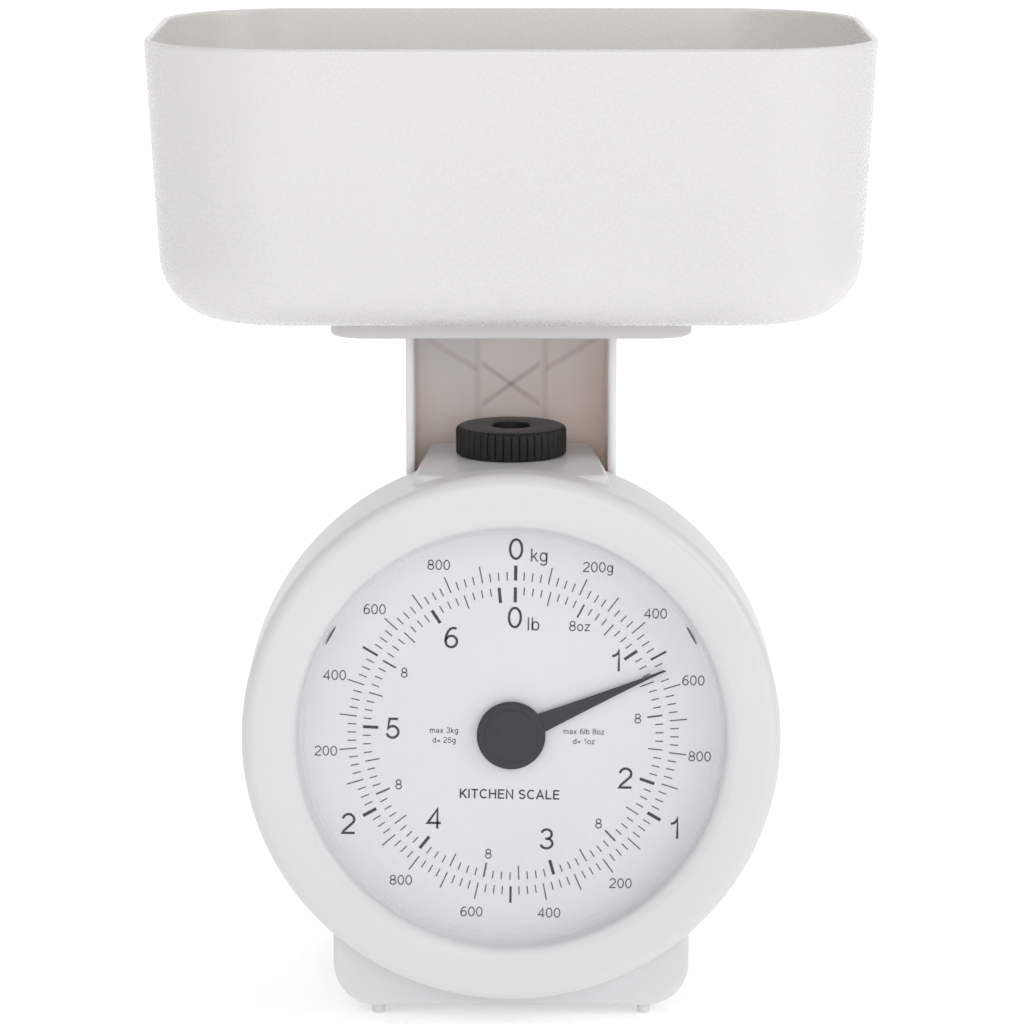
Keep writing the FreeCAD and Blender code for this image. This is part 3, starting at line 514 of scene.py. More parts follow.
def grid_faces(rows: int, columns: int, wrap_rows: bool) -> np.ndarray:
    """Quads of a grid whose columns wrap round: (i, j), (i + 1, j), (i + 1, j + 1), (i, j + 1).

    Args:
        rows: number of rows.
        columns: number of columns.
        wrap_rows: True when the last row joins the first.

    Returns:
        Array of faces, four indices each.
    """
    last = rows if wrap_rows else rows - 1
    row = np.arange(last)[:, None]
    column = np.arange(columns)[None, :]
    ahead = (row + 1) % rows
    right = (column + 1) % columns
    corners = (row * columns + column, ahead * columns + column)
    corners += (ahead * columns + right, row * columns + right)
    return np.stack(np.broadcast_arrays(*corners), axis=2).reshape(-1, 4)


def signed_volume(points: np.ndarray, faces: Sequence[Sequence[int]]) -> float:
    """Volume inside a closed mesh by the sum of p0 . (p1 x p2) / 6 over its fan triangles.

    Args:
        points: the mesh's points.
        faces: indices of each face's corners.

    Returns:
        The volume, negative when the faces point inwards.
    """
    total = 0.0
    for size in {len(face) for face in faces}:
        block = np.array([face for face in faces if len(face) == size])
        for step in range(1, size - 1):
            first, second, third = (points[block[:, k]] for k in (0, step, step + 1))
            total += float(np.einsum("ij,ij->", first, np.cross(second, third))) / 6
    return total


def surface_mesh(
    name: str,
    rows: np.ndarray,
    caps: tuple[Cap, Cap] = (Cap.NONE, Cap.NONE),
    wrap_rows: bool = False,
) -> bpy.types.Mesh:
    """Closed mesh from rows of points in mm, with its faces turned outwards.

    Args:
        name: name of the mesh.
        rows: rows, columns and (x, y, z).
        caps: how the first and last rows are closed.
        wrap_rows: True when the last row joins the first.

    Returns:
        The mesh, in metres.
    """
    count, columns = rows.shape[:2]
    points = rows.reshape(-1, 3) * MM
    faces: list[list[int]] = grid_faces(count, columns, wrap_rows).tolist()
    for cap, first, backwards in ((caps[0], 0, False), (caps[1], (count - 1) * columns, True)):
        loop = list(range(first, first + columns))
        if backwards:
            loop.reverse()
        if cap is Cap.FLAT:
            faces.append(loop)
        if cap is Cap.POLE:
            pole = len(points)
            points = np.vstack((points, points[loop].mean(axis=0)))
            faces += [[a, b, pole] for a, b in zip(loop, loop[1:] + loop[:1])]
    if signed_volume(points, faces) < 0:
        faces = [face[::-1] for face in faces]
    mesh = bpy.data.meshes.new(name)
    mesh.from_pydata(points.tolist(), [], faces)
    mesh.update()
    return mesh


def carve(
    target: bpy.types.Object, tools: Sequence[bpy.types.Object], operation: str = "DIFFERENCE"
) -> bpy.types.Object:
    """Apply exact booleans to a piece and remove the tools.

    Args:
        target: the piece, whose mesh is replaced.
        tools: pieces that are cut away or added.
        operation: "DIFFERENCE" or "UNION".

    Returns:
        The piece.
    """
    for tool in tools:
        change = target.modifiers.new("carve", "BOOLEAN")
        change.operation = operation
        change.solver = "EXACT"
        change.object = tool
    bpy.context.view_layer.update()
    graph = bpy.context.evaluated_depsgraph_get()
    result = bpy.data.meshes.new_from_object(target.evaluated_get(graph))
    target.modifiers.clear()
    target.data = result
    for tool in tools:
        bpy.data.objects.remove(tool)
    return target


def loose(mesh: bpy.types.Mesh) -> bpy.types.Object:
    """Object for a mesh, linked to the scene."""
    thing = bpy.data.objects.new(mesh.name, mesh)
    bpy.context.scene.collection.objects.link(thing)
    return thing


def stacked(outlines: np.ndarray, levels: Sequence[float]) -> np.ndarray:
    """Rows of (x, y, z) from outlines of (x, y), each at its own level.

    Args:
        outlines: outlines, points and (x, y).
        levels: z of each outline.

    Returns:
        Array of rows, columns and (x, y, z).
    """
    heights = np.asarray(levels, float)[:, None, None]
    return np.concatenate((outlines, np.broadcast_to(heights, outlines.shape[:2] + (1,))), axis=2)


def turned(
    name: str,
    profile: np.ndarray,
    centre: Vector,
    steps: int,
    axis: str = "Y",
    looped: bool = False,
) -> bpy.types.Object:
    """Piece of revolution, from the same sizes as revolved.

    Args:
        name: name of the piece.
        profile: points (distance along the axis, radius), in mm.
        centre: point on the axis, in mm.
        steps: columns round the axis.
        axis: "Y" or "Z".
        looped: True when the profile's end joins its start; otherwise poles close the ends.

    Returns:
        The piece.
    """
    caps = (Cap.NONE, Cap.NONE) if looped else (Cap.POLE, Cap.POLE)
    return loose(surface_mesh(name, revolved(profile, centre, steps, axis), caps, looped))


def block_rows(low: Sequence[float], high: Sequence[float], radius: float = 0.0) -> np.ndarray:
    """Two rows of an upright block, whose outline is a rounded rectangle.

    Args:
        low: lowest corner, in mm.
        high: highest corner, in mm.
        radius: radius of the upright edges, or 0 for sharp ones.

    Returns:
        Array of rows, columns and (x, y, z), in mm.
    """
    low, high = np.array(low, float), np.array(high, float)
    half = (high - low) / 2
    outline = rounded_outline(half[0], half[1], max(radius, 0.001), 6 if radius else 1, 2)[0]
    rows = stacked(np.repeat(outline[None], 2, axis=0), (low[2], high[2]))
    rows[..., :2] += (low + half)[:2]
    return rows


def block(
    name: str, low: Sequence[float], high: Sequence[float], radius: float = 0.0
) -> bpy.types.Object:
    """Upright block between two corners, in mm, with round upright edges."""
    return loose(surface_mesh(name, block_rows(low, high, radius), (Cap.FLAT, Cap.FLAT)))


@dataclass
class Assembly:
    """Common work of the sub-assemblies: dressing a piece and tying it to the frame."""

    def finish(
        self,
        piece: bpy.types.Object,
        material: bpy.types.Material,
        body: Body,
        slot: str,
        stands_for: Sequence[str] = (),
        crease: float = 35.0,
    ) -> bpy.types.Object:
        """Dress a piece and tie it to the frame.

        Args:
            piece: the finished object.
            material: its material.
            body: the body that it rides on.
            slot: not used.
            stands_for: CAD nodes that it replaces.
            crease: edges sharper than this many degrees stay sharp.

        Returns:
            The piece.
        """
        piece.data.materials.clear()
        piece.data.materials.append(material)
        piece.data.shade_smooth()
        piece.data.set_sharp_from_angle(angle=math.radians(crease))
        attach(piece, body.value)
        if stands_for:
            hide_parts(*stands_for)
        log.info("%s: %d faces", piece.name, len(piece.data.polygons))
        return piece


def box_mm(node: str) -> tuple[np.ndarray, np.ndarray]:
    """Lowest and highest corners of a CAD node, in mm."""
    low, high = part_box(node)
    return np.array(low) / MM, np.array(high) / MM


@dataclass
class Bowl(Assembly):
    """Lift-off bowl: a drafted wall with round corners, a rolled rim and a recess underneath."""

    draft: float = 3.2
    corner: float = 32.0
    bottom_round: float = 15.0
    wall: float = 1.5
    recess: tuple[float, float] = (20.4, 15.4)
    recess_depth: float = 1.4
    recess_corner: float = 2.0
    dome_corner: float = 4.0

    def profile(self) -> np.ndarray:
        """Rows (inset, height) from the floor's underside over the rim to the floor's top.

        The side is inset = (rim - z) tan(draft), and the bottom edge is an arc that meets the
        side and the floor, offset inwards by the wall for the inner surface.
        """
        low, high = box_mm("bowl")
        floor, rim = low[2], high[2]
        slope = math.tan(math.radians(self.draft))
        secant = 1 / math.cos(math.radians(self.draft))
        pivot = floor + self.bottom_round
        inset = (rim - pivot) * slope + self.bottom_round * secant
        outer = arc((inset, pivot), (-self.bottom_round,) * 2, 90, self.draft, 12)
        inner_round = self.bottom_round - self.wall
        inner = arc((inset, pivot), (-inner_round,) * 2, self.draft, 90, 12)
        lip = arc((self.wall / 2, rim - self.wall / 2), (-self.wall / 2, self.wall / 2), 0, 180, 8)
        share = np.concatenate(([0.01], np.linspace(0.0, 1.0, 8)[1:-1], [0.99]))[:, None]
        side_out = (1 - share) * outer[-1] + share * lip[0]
        side_in = (1 - share) * lip[-1] + share * inner[0]
        return np.concatenate((outer, side_out, lip, side_in, inner))

    def build(self, plastic: bpy.types.Material) -> None:
        """Make the bowl.

        Args:
            plastic: its material.
        """
        low, high = box_mm("bowl")
        half, floor = (high - low) / 2, low[2]
        line = self.profile()
        recess_rise = np.array([self.recess_depth, self.recess_depth, 0.0]) + floor
        dome_rise = np.array([0.0, 0.6, 1.0]) + floor + self.wall
        recess, dome = np.array(self.recess), np.array(self.recess) + self.wall
        outlines = [
            rounded_outline(size[0] - inset, size[1] - inset, corner, 18, 22)
            for size, inset, corner in (
                (recess, np.array([1.0, 0.0, 0.0]), self.recess_corner),
                (half, line[:, 0], self.corner - line[:, 0]),
                (dome, np.array([-0.6, 0.0, 0.4]), self.dome_corner),
            )
        ]
        levels = np.concatenate((recess_rise, line[:, 1], dome_rise))
        rows = stacked(np.concatenate(outlines), levels)
        piece = loose(surface_mesh("bowl_shell", rows, (Cap.POLE, Cap.POLE)))
        self.finish(piece, plastic, Body.BOWL, "bowl_white", ("bowl",), 50)


@dataclass
class Platform(Assembly):
    """Plate under the bowl with softened edges, its locator and two countersunk screw holes."""

    corner: float = 8.0
    edge: float = 1.0
    top_edge: float = 0.5
    locator: tuple[float, float] = (20.0, 15.0)
    locator_corner: float = 2.0
    locator_edge: float = 0.3
    screw_hole: tuple[float, float] = (1.5, 3.0)
    sink_depth: float = 1.8
    screw: tuple[float, float] = PLATFORM_SCREW

    def build(self, plastic: bpy.types.Material) -> None:
        """Make the plate.

        Args:
            plastic: its material.
        """
        low, high = box_mm("platform")
        under, top = low[2], box_mm("bowl")[0][2]
        lower = arc((self.edge, under + self.edge), (-self.edge,) * 2, 90, 0, 5)
        above = self.top_edge
        line = np.concatenate((lower, arc((above, top - above), (-above, above), 0, 90, 4)))
        outlines = [
            rounded_outline(size[0] - inset, size[1] - inset, corner, 12, 4)
            for size, inset, corner in (
                (high, line[:, 0], self.corner - line[:, 0]),
                (self.locator, np.array([0.0, 0.0, self.locator_edge]), self.locator_corner),
            )
        ]
        levels = np.concatenate((line[:, 1], [top, high[2] - self.locator_edge, high[2]]))
        rows = stacked(np.concatenate(outlines), levels)
        piece = loose(surface_mesh("platform_plate", rows, (Cap.POLE, Cap.POLE)))
        (shank, head), seat = self.screw_hole, top - self.sink_depth
        sink = np.array([[under - 1, shank], [seat, shank], [seat, head], [top + 1, head]])
        centres = [Vector((side * self.screw[0], self.screw[1], 0)) for side in (-1, 1)]
        carve(piece, [turned("sink", sink, centre, 32, "Z") for centre in centres])
        self.finish(piece, plastic, Body.PLATFORM, "housing_white", ("platform",))


@dataclass
class Pillar(Assembly):
    """Channel that carries the platform, open to the front and ribbed at the back."""

    wall: float = 2.0
    bend: float = 2.2
    back: float = 13.0
    screw: tuple[float, float] = PLATFORM_SCREW
    rib_x: float = 8.0
    rib_back: float = 14.4
    cross: tuple[float, float] = (132.8, 144.8)
    cross_back: float = 14.35
    cross_thick: float = 1.2
    boss_low: float = 142.0
    boss_bore: float = 1.3
    boss_radius: float = 3.0

    def section(self) -> np.ndarray:
        """Outline of the channel: its centre line offset by half the wall, with rounded ends."""
        low, high = box_mm("pillar")
        half = high[0] - self.wall / 2
        back = self.back - self.wall / 2
        front = low[1] + self.wall / 2
        mid = self.wall / 2

        def offset(side: float) -> np.ndarray:
            radius = self.bend + side
            left = arc((-half + self.bend, back - self.bend), (radius,) * 2, 180, 90, 8)
            right = arc((half - self.bend, back - self.bend), (radius,) * 2, 90, 0, 8)
            ends = [[-half - side, front]], [[half + side, front]]
            return np.concatenate((ends[0], left, right, ends[1]))

        outer = offset(mid)
        inner = offset(-mid)[::-1]
        right_end = arc((half, front), (mid, mid), 0, -180, 8)[1:-1]
        left_end = arc((-half, front), (mid, mid), 0, -180, 8)[1:-1]
        return np.concatenate((outer, right_end, inner, left_end))

    def build(self, plastic: bpy.types.Material, outside: bpy.types.Material) -> None:
        """Make the channel and the ribs behind it.

        Args:
            plastic: material of the channel.
            outside: material of the ribs and screw bosses.
        """
        low, high = box_mm("pillar")
        section = self.section()
        levels = np.linspace(low[2], high[2], 9)
        rows = stacked(np.repeat(section[None], len(levels), axis=0), levels)
        channel = loose(surface_mesh("pillar_channel", rows, (Cap.FLAT, Cap.FLAT)))
        self.finish(channel, plastic, Body.PLATFORM, "pillar_white", ("pillar",), 40)
        root, rib, top, foot = self.back - 0.1, self.rib_x, high[2], self.boss_low
        pieces = [
            block("rib", (x - 0.6, root, low[2]), (x + 0.6, self.rib_back, top), 0.3)
            for x in (-rib, rib)
        ]
        for left, right in (self.cross, self.cross[::-1]):
            high_left, high_right = left + self.cross_thick, right + self.cross_thick
            corners = np.array([(-rib, left), (rib, right), (rib, high_right), (-rib, high_left)])
            rows = stacked(np.repeat(corners[None], 2, axis=0), (root, self.cross_back))
            pieces.append(loose(surface_mesh("cross", rows[..., [0, 2, 1]], (Cap.FLAT, Cap.FLAT))))
        bore, outer = self.boss_bore, self.boss_radius
        tube = np.array(
            [[foot, bore], [foot, outer - 0.4], [foot + 0.5, outer], [top, outer], [top, bore]]
        )
        for side in (-1, 1):
            x, y = side * self.screw[0], self.screw[1]
            pieces.append(turned("boss", tube, Vector((x, y, 0)), 32, "Z", looped=True))
            pieces.append(block("web", (x - 1, root, foot), (x + 1, y - 2.8, top), 0.2))
        joined = join("pillar_ribs", pieces)
        self.finish(joined, outside, Body.PLATFORM, "pillar_white")


def join(name: str, pieces: Sequence[bpy.types.Object]) -> bpy.types.Object:
    """One object that holds the meshes of several, all of them already in place.

    Args:
        name: name of the new piece.
        pieces: the pieces, which are removed.

    Returns:
        The new piece.
    """
    points: list[np.ndarray] = []
    faces: list[list[int]] = []
    start = 0
    for piece in pieces:
        mesh = piece.data
        place = np.empty(len(mesh.vertices) * 3, np.float32)
        mesh.vertices.foreach_get("co", place)
        points.append(place.reshape(-1, 3))
        faces += [[start + index for index in face.vertices] for face in mesh.polygons]
        start += len(mesh.vertices)
        bpy.data.objects.remove(piece)
    result = bpy.data.meshes.new(name)
    result.from_pydata(np.concatenate(points).tolist(), [], faces)
    result.update()
    return loose(result)


@dataclass
class Housing(Assembly):
    """Round housing: ring, drum and base in front, tapered shell behind."""

    dial_height: float = DIAL_HEIGHT
    drum: float = 61.2
    opening: float = 48.8
    crest: float = 56.0
    ring_edge: float = 3.2
    ring_lip: float = 1.7
    face_edge: float = 2.4
    lens_seat: float = -46.6
    lens_radius: float = 52.7
    ring_back: float = -41.4
    split: float = -22.5
    wall: float = 2.2
    base_half: float = 41.0
    base_front: float = -38.6
    base_back: float = 38.6
    base_round: float = 10.0
    base_edge: float = 1.6
    base_under: float = 2.3
    boss_half: float = 19.0
    boss_flare: float = 0.077
    boss_front: float = -41.0
    boss_foot: float = 118.0
    boss_top: float = 127.5
    boss_edge: float = 1.2
    boss_corner: float = 2.6
    boss_back: float = 3.0
    slot_half: float = 25.6
    slot_back: float = 16.6
    knob_y: float = -12.5
    knob_bore: float = 2.1
    slot_corner: float = 1.5
    relief_half: float = 18.0
    relief_back: float = 22.0
    screw: tuple[float, float] = (33.0, 16.0)
    screw_hole: tuple[float, float] = (1.6, 3.0)
    screw_tube: float = 3.8
    rim_step: float = 0.4
    back_radius: float = 49.5
    back_draft: float = 0.9
    back_edge: float = 6.0
    foot_radius: float = 1.5
    foot_edge: float = 0.5

    def centre(self) -> Vector:
        """Middle of the dial, in the plane y = 0."""
        return Vector((0, 0, self.dial_height))

    def front_profile(self) -> np.ndarray:
        """Ring and drum as a closed line of (y, radius), wall included.

        The outer edge is a quarter circle. The face falls along a flat ellipse toward the
        opening, and a small quarter circle turns it inwards.
        """
        front = box_mm("front_housing")[0][1]
        edge, lip, bore = self.ring_edge, self.ring_lip, self.drum - self.wall
        seat, radius = self.lens_seat, self.lens_radius
        outer = arc((front + edge, self.drum - edge - 0.1), (edge, edge), 90, 180, 14)
        reach = (self.crest - self.opening) * 1.25
        face = arc((front + self.face_edge, self.crest), (self.face_edge, reach), 180, 226, 12)
        turn = arc((face[-1, 0] + lip, self.opening + lip), (lip, lip), 200, 270, 6)
        roll = np.concatenate((face[face[:, 1] > self.opening + lip + 0.4], turn))
        inside = [
            [seat, self.opening],
            [seat, radius],
            [self.ring_back, radius],
            [self.ring_back, radius + 2.1],
            [seat + 0.6, radius + 2.1],
            [seat, radius + 2.7],
            [seat, bore - 2.0],
            [seat + 1.8, bore],
            [self.split, bore],
        ]
        return np.concatenate(([[self.split, self.drum]], outer, roll, inside))

    def base_rows(self, inset: float, face: float, joint: float, edge: float) -> np.ndarray:
        """Rows of the base block along Y from its joint to its outer face.

        The outline is a rounded rectangle in XZ. For t over a quarter turn the softened edge has
        the inset edge * (1 - cos t) at the distance edge * (1 - sin t) from the face.

        Args:
            inset: distance inside the block's outer skin.
            face: position of the outer face.
            joint: position of the open end.
            edge: radius of the softened edge, or 0.

        Returns:
            Array of rows, columns and (x, y, z).
        """
        under = self.base_under + inset
        way = math.copysign(1.0, joint - face)
        turn = np.linspace(0.0, math.pi / 2, 6 if edge else 1)
        deep = np.concatenate(([joint], face + way * edge * (1 - np.sin(turn))))
        shrink = np.concatenate(([0.0], edge * (1 - np.cos(turn))))
        ceiling = self.dial_height - 3 * inset
        middle, tall = (ceiling + under) / 2, (ceiling - under) / 2
        round_off = self.base_round - inset - shrink
        outline = rounded_outline(
            self.base_half - inset - shrink, tall - shrink, round_off, 12, 6
        )
        rows = stacked(outline, deep)[..., [0, 2, 1]]
        rows[..., 2] += middle
        return rows

    def base_shell(self, face: float, joint: float, drum: np.ndarray) -> bpy.types.Object:
        """Hollow half of the base, open at the bottom and where it meets the drum.

        Args:
            face: position of its outer face.
            joint: position of its open end.
            drum: profile of the drum's space, which is cut away.

        Returns:
            The shell.
        """
        closed = (Cap.FLAT, Cap.FLAT)
        way = math.copysign(1.0, joint - face)
        skin = self.base_rows(0.0, face, joint, self.base_edge)
        shell = loose(surface_mesh("base", skin, closed))
        beyond = joint + way
        room = self.base_rows(2.0, face + 2 * way, beyond, 0.0)
        low, high = sorted((face + 2.05 * way, beyond + way))
        carve(
            shell,
            [
                loose(surface_mesh("base_room", room, closed)),
                turned("drum", drum, self.centre(), 160),
                block("cover_gap", (-29, low, -1), (29, high, 10)),
            ],
        )
        return shell

    def front(self, plastic: bpy.types.Material) -> None:
        """Make the front half with its boss.

        Args:
            plastic: its material.
        """
        shell = turned("front_shell", self.front_profile(), self.centre(), 256, looped=True)
        inner, start = self.drum - self.wall / 2, self.lens_seat + 2.6
        drum = np.array([[start, inner], [self.split + 2, inner]])
        base = self.base_shell(self.base_front, self.split - 0.01, drum)
        boss = self.boss()
        inside = self.boss_half - self.wall
        top = self.boss_top
        room = block_rows(
            (-inside, self.boss_front + self.wall, 100),
            (inside, self.boss_back - self.wall, top - self.wall),
        )
        closed = (Cap.FLAT, Cap.FLAT)
        boss_room = loose(surface_mesh("boss_room", self.flared(room), closed))
        drum_end = np.array([[start, inner], [self.split - 0.8, inner]])
        disc = turned("drum", drum_end, self.centre(), 160)
        hole = np.array([[120.0, self.knob_bore], [140.0, self.knob_bore]])
        carve(boss, [boss_room, disc, turned("bore", hole, Vector((0, self.knob_y, 0)), 32, "Z")])
        half = self.boss_half - 0.02
        room = block_rows((-half, self.boss_front - 0.02, top + 0.02), (half, -20, 140))
        carve(shell, [loose(surface_mesh("flat", self.flared(room), closed))])
        carve(shell, [base, boss], "UNION")
        self.finish(shell, plastic, Body.HOUSING, "housing_white", ("front_housing",), 32)

    def flared(self, rows: np.ndarray) -> np.ndarray:
        """Widen rows toward the front: x * (1 + flare * (back - y) / half)."""
        share = 1 + self.boss_flare * (self.boss_back - rows[..., 1]) / self.boss_half
        wider = rows.copy()
        wider[..., 0] *= share
        return wider

    def boss(self) -> bpy.types.Object:
        """Raised boss under the knob: it widens toward the front and has soft edges."""
        edge = self.boss_edge
        upper = arc((edge, self.boss_top - edge), (-edge, edge), 0, 90, 6)
        inset, level = np.concatenate(([[0.0, self.boss_foot]], upper)).T
        half_y = (self.boss_back - self.boss_front) / 2
        outline = rounded_outline(
            self.boss_half - inset, half_y - inset, self.boss_corner - inset * 0.9, 8, 4
        )
        outline[..., 1] += self.boss_back - half_y
        rows = self.flared(stacked(outline, level))
        return loose(surface_mesh("boss", rows, (Cap.FLAT, Cap.FLAT)))

    def rear(self, plastic: bpy.types.Material) -> None:
        """Make the tapered back shell, with the pillar's slot and the screw wells.

        Args:
            plastic: its material.
        """
        face, wall, split = box_mm("rear_housing")[1][1], self.wall, self.split
        edge, rim = self.back_edge, self.drum - self.rim_step
        centre = (face - edge, self.back_radius - edge)
        outer = arc(centre, (edge, edge), 78, 0, 12)
        inner = arc(centre, (edge - wall, edge - wall), 0, 78, 10)
        start = [[face - wall, 0.05], [face - wall, 20.0]]
        seam, end = [[split, rim - wall], [split, rim]], [[face, 20.0], [face, 0.05]]
        line = np.concatenate((start, inner, seam, outer, end))
        shell = turned("rear_shell", line, self.centre(), 224)
        half, back, bend = self.slot_half, self.slot_back, self.slot_corner
        slot = block("slot", (-half, split - 8, 100), (half, back, 140), bend)
        half = self.relief_half
        relief = block("relief", (-half, back - 3, 112), (half, self.relief_back, 139), bend)
        carve(shell, [slot, relief])
        room = [[split - 2, rim - 0.6], [face - edge, self.back_radius - wall / 2]]
        drum = np.array([*room, [face + 3, self.back_radius - self.back_draft]])
        base = self.base_shell(self.base_back, split + 0.01, drum)
        x, z = self.screw
        shank, head, step = *self.screw_hole, split + 5
        tube = np.array([[split + 0.3, self.screw_tube], [self.base_back - 1, self.screw_tube]])
        well = np.array([[split - 1, shank], [step, shank], [step, head], [face + 2, head]])
        centres = [Vector((side * x, 0, z)) for side in (-1, 1)]
        tubes = [turned("tube", tube, centre, 44) for centre in centres]
        wells = [turned("well", well, centre, 38) for centre in centres]
        carve(shell, [base, *tubes], "UNION")
        carve(shell, wells)
        self.finish(shell, plastic, Body.HOUSING, "housing_white", ("rear_housing",), 32)

    def feet(self, plastic: bpy.types.Material) -> None:
        """Make the four small feet, each a short pin with a rounded tip.

        Args:
            plastic: their material.
        """
        x, y, tall = box_mm("feet")[1]
        radius, soft = self.foot_radius, self.foot_edge
        tip = arc((soft, radius - soft), (-soft, soft), 0, 90, 4)
        line = np.concatenate((tip, [[tall, radius]]))
        pins = [
            turned("foot", line, Vector((side * (x - radius), end * (y - radius), 0)), 28, "Z")
            for side in (-1, 1)
            for end in (-1, 1)
        ]
        self.finish(join("base_feet", pins), plastic, Body.HOUSING, "feet_white", ("feet",))


def bow(
    x: float, y: float, reach_x: float, reach_y: float, start: float = 0.0, end: float = 360.0
) -> list[tuple[float, float]]:
    """Elliptical stroke of points (x + rx cos a, y + ry sin a), about 15 degrees apart.

    Args:
        x: middle, across.
        y: middle, up.
        reach_x: half width.
        reach_y: half height.
        start: first angle a, in degrees.
        end: last angle a, in degrees.

    Returns:
        The stroke's points.
    """
    steps = max(4, int(abs(end - start) / 15))
    return [tuple(point) for point in arc((x, y), (reach_x, reach_y), start, end, steps)]


def ribbon(line: np.ndarray, width: float, closed: bool) -> tuple[np.ndarray, np.ndarray]:
    """Edges of a stroke: each point moved along its mitred normal by half the width.

    Args:
        line: points of the stroke.
        width: stroke width.
        closed: True when the stroke's end joins its start.

    Returns:
        The left and right edges.
    """
    before, after = np.roll(line, 1, axis=0), np.roll(line, -1, axis=0)
    if not closed:
        before[0] = 2 * line[0] - line[1]
        after[-1] = 2 * line[-1] - line[-2]
    into, out = line - before, after - line
    into /= np.linalg.norm(into, axis=1, keepdims=True)
    out /= np.linalg.norm(out, axis=1, keepdims=True)
    way = into + out
    way /= np.linalg.norm(way, axis=1, keepdims=True)
    spread = np.maximum(np.einsum("ij,ij->i", way, into), 0.45)
    side = np.stack((-way[:, 1], way[:, 0]), axis=1) * (width / 2 / spread)[:, None]
    return line + side, line - side


@dataclass(frozen=True)
class Lettering:
    """Plain upright lettering drawn with strokes of one width, in units of the figure height."""

    height: float
    stroke: float
    gap: float = 0.12
    breadth: float = 1.26

    @staticmethod
    def shapes() -> dict[str, tuple[float, list[list[tuple[float, float]]]]]:
        """Width and strokes of each letter; a stroke that ends where it starts is closed."""
        return {
            " ": (0.2, []),
            "0": (0.5, [bow(0.25, 0.5, 0.22, 0.46)]),
            "1": (0.38, [[(0.04, 0.72), (0.16, 0.76), (0.24, 0.84), (0.29, 0.99), (0.29, 0.0)]]),
            "2": (0.5, [
                bow(0.25, 0.7, 0.21, 0.26, 172, -32) + [(0.08, 0.16), (0.03, 0.045), (0.48, 0.045)],
            ]),
            "3": (0.5, [
                bow(0.25, 0.73, 0.19, 0.23, 165, -82) + [(0.2, 0.51)],
                bow(0.25, 0.28, 0.22, 0.24, 80, -168),
            ]),
            "4": (0.52, [[(0.39, 0.0), (0.39, 0.94), (0.03, 0.27), (0.52, 0.27)]]),
            "5": (0.5, [
                [(0.44, 0.95), (0.13, 0.95), (0.07, 0.49)] + bow(0.24, 0.32, 0.22, 0.28, 132, -165),
            ]),
            "6": (0.5, [
                bow(0.26, 0.31, 0.21, 0.27),
                bow(0.34, 0.33, 0.29, 0.63, 184, 68),
            ]),
            "8": (0.5, [bow(0.25, 0.735, 0.185, 0.22), bow(0.25, 0.275, 0.22, 0.235)]),
            "k": (0.42, [
                [(0.06, 1.0), (0.06, 0.0)],
                [(0.38, 0.68), (0.07, 0.3)],
                [(0.18, 0.42), (0.42, 0.0)],
            ]),
            "g": (0.48, [
                bow(0.23, 0.36, 0.19, 0.31),
                [(0.42, 0.7), (0.42, -0.04)] + bow(0.23, -0.06, 0.19, 0.2, -5, -155),
            ]),
            "l": (0.1, [[(0.05, 1.0), (0.05, 0.0)]]),
            "b": (0.48, [[(0.06, 1.0), (0.06, 0.0)], bow(0.26, 0.35, 0.19, 0.31)]),
            "o": (0.46, [bow(0.23, 0.35, 0.2, 0.31)]),
            "z": (0.42, [[(0.03, 0.64), (0.37, 0.64), (0.04, 0.05), (0.4, 0.05)]]),
            "m": (0.72, [
                [(0.05, 0.7), (0.05, 0.0)],
                bow(0.2, 0.45, 0.15, 0.21, 175, 0) + [(0.35, 0.0)],
                bow(0.5, 0.45, 0.15, 0.21, 175, 0) + [(0.65, 0.0)],
            ]),
            "a": (0.46, [
                bow(0.22, 0.46, 0.17, 0.2, 160, 0) + [(0.39, 0.0)],
                bow(0.21, 0.2, 0.17, 0.16),
            ]),
            "x": (0.42, [[(0.03, 0.68), (0.39, 0.0)], [(0.39, 0.68), (0.03, 0.0)]]),
            "d": (0.48, [[(0.42, 1.0), (0.42, 0.0)], bow(0.23, 0.35, 0.19, 0.31)]),
            "=": (0.46, [[(0.03, 0.44), (0.43, 0.44)], [(0.03, 0.22), (0.43, 0.22)]]),
            "K": (0.58, [
                [(0.07, 1.0), (0.07, 0.0)],
                [(0.54, 1.0), (0.08, 0.37)],
                [(0.22, 0.57), (0.57, 0.0)],
            ]),
            "I": (0.14, [[(0.07, 1.0), (0.07, 0.0)]]),
            "T": (0.56, [[(0.0, 0.93), (0.56, 0.93)], [(0.28, 0.93), (0.28, 0.0)]]),
            "C": (0.64, [bow(0.36, 0.5, 0.3, 0.44, 48, 312)]),
            "H": (0.62, [
                [(0.07, 1.0), (0.07, 0.0)],
                [(0.55, 1.0), (0.55, 0.0)],
                [(0.07, 0.53), (0.55, 0.53)],
            ]),
            "E": (0.54, [
                [(0.52, 0.93), (0.07, 0.93), (0.07, 0.07), (0.53, 0.07)],
                [(0.07, 0.52), (0.48, 0.52)],
            ]),
            "N": (0.62, [[(0.07, 0.0), (0.07, 0.95), (0.55, 0.05), (0.55, 1.0)]]),
            "S": (0.56, [bow(0.28, 0.72, 0.21, 0.21, 25, 245) + bow(0.28, 0.28, 0.22, 0.22, 62, -155)]),
            "A": (0.64, [[(0.03, 0.0), (0.32, 0.95), (0.61, 0.0)], [(0.13, 0.32), (0.51, 0.32)]]),
            "L": (0.5, [[(0.07, 1.0), (0.07, 0.07), (0.5, 0.07)]]),
        }

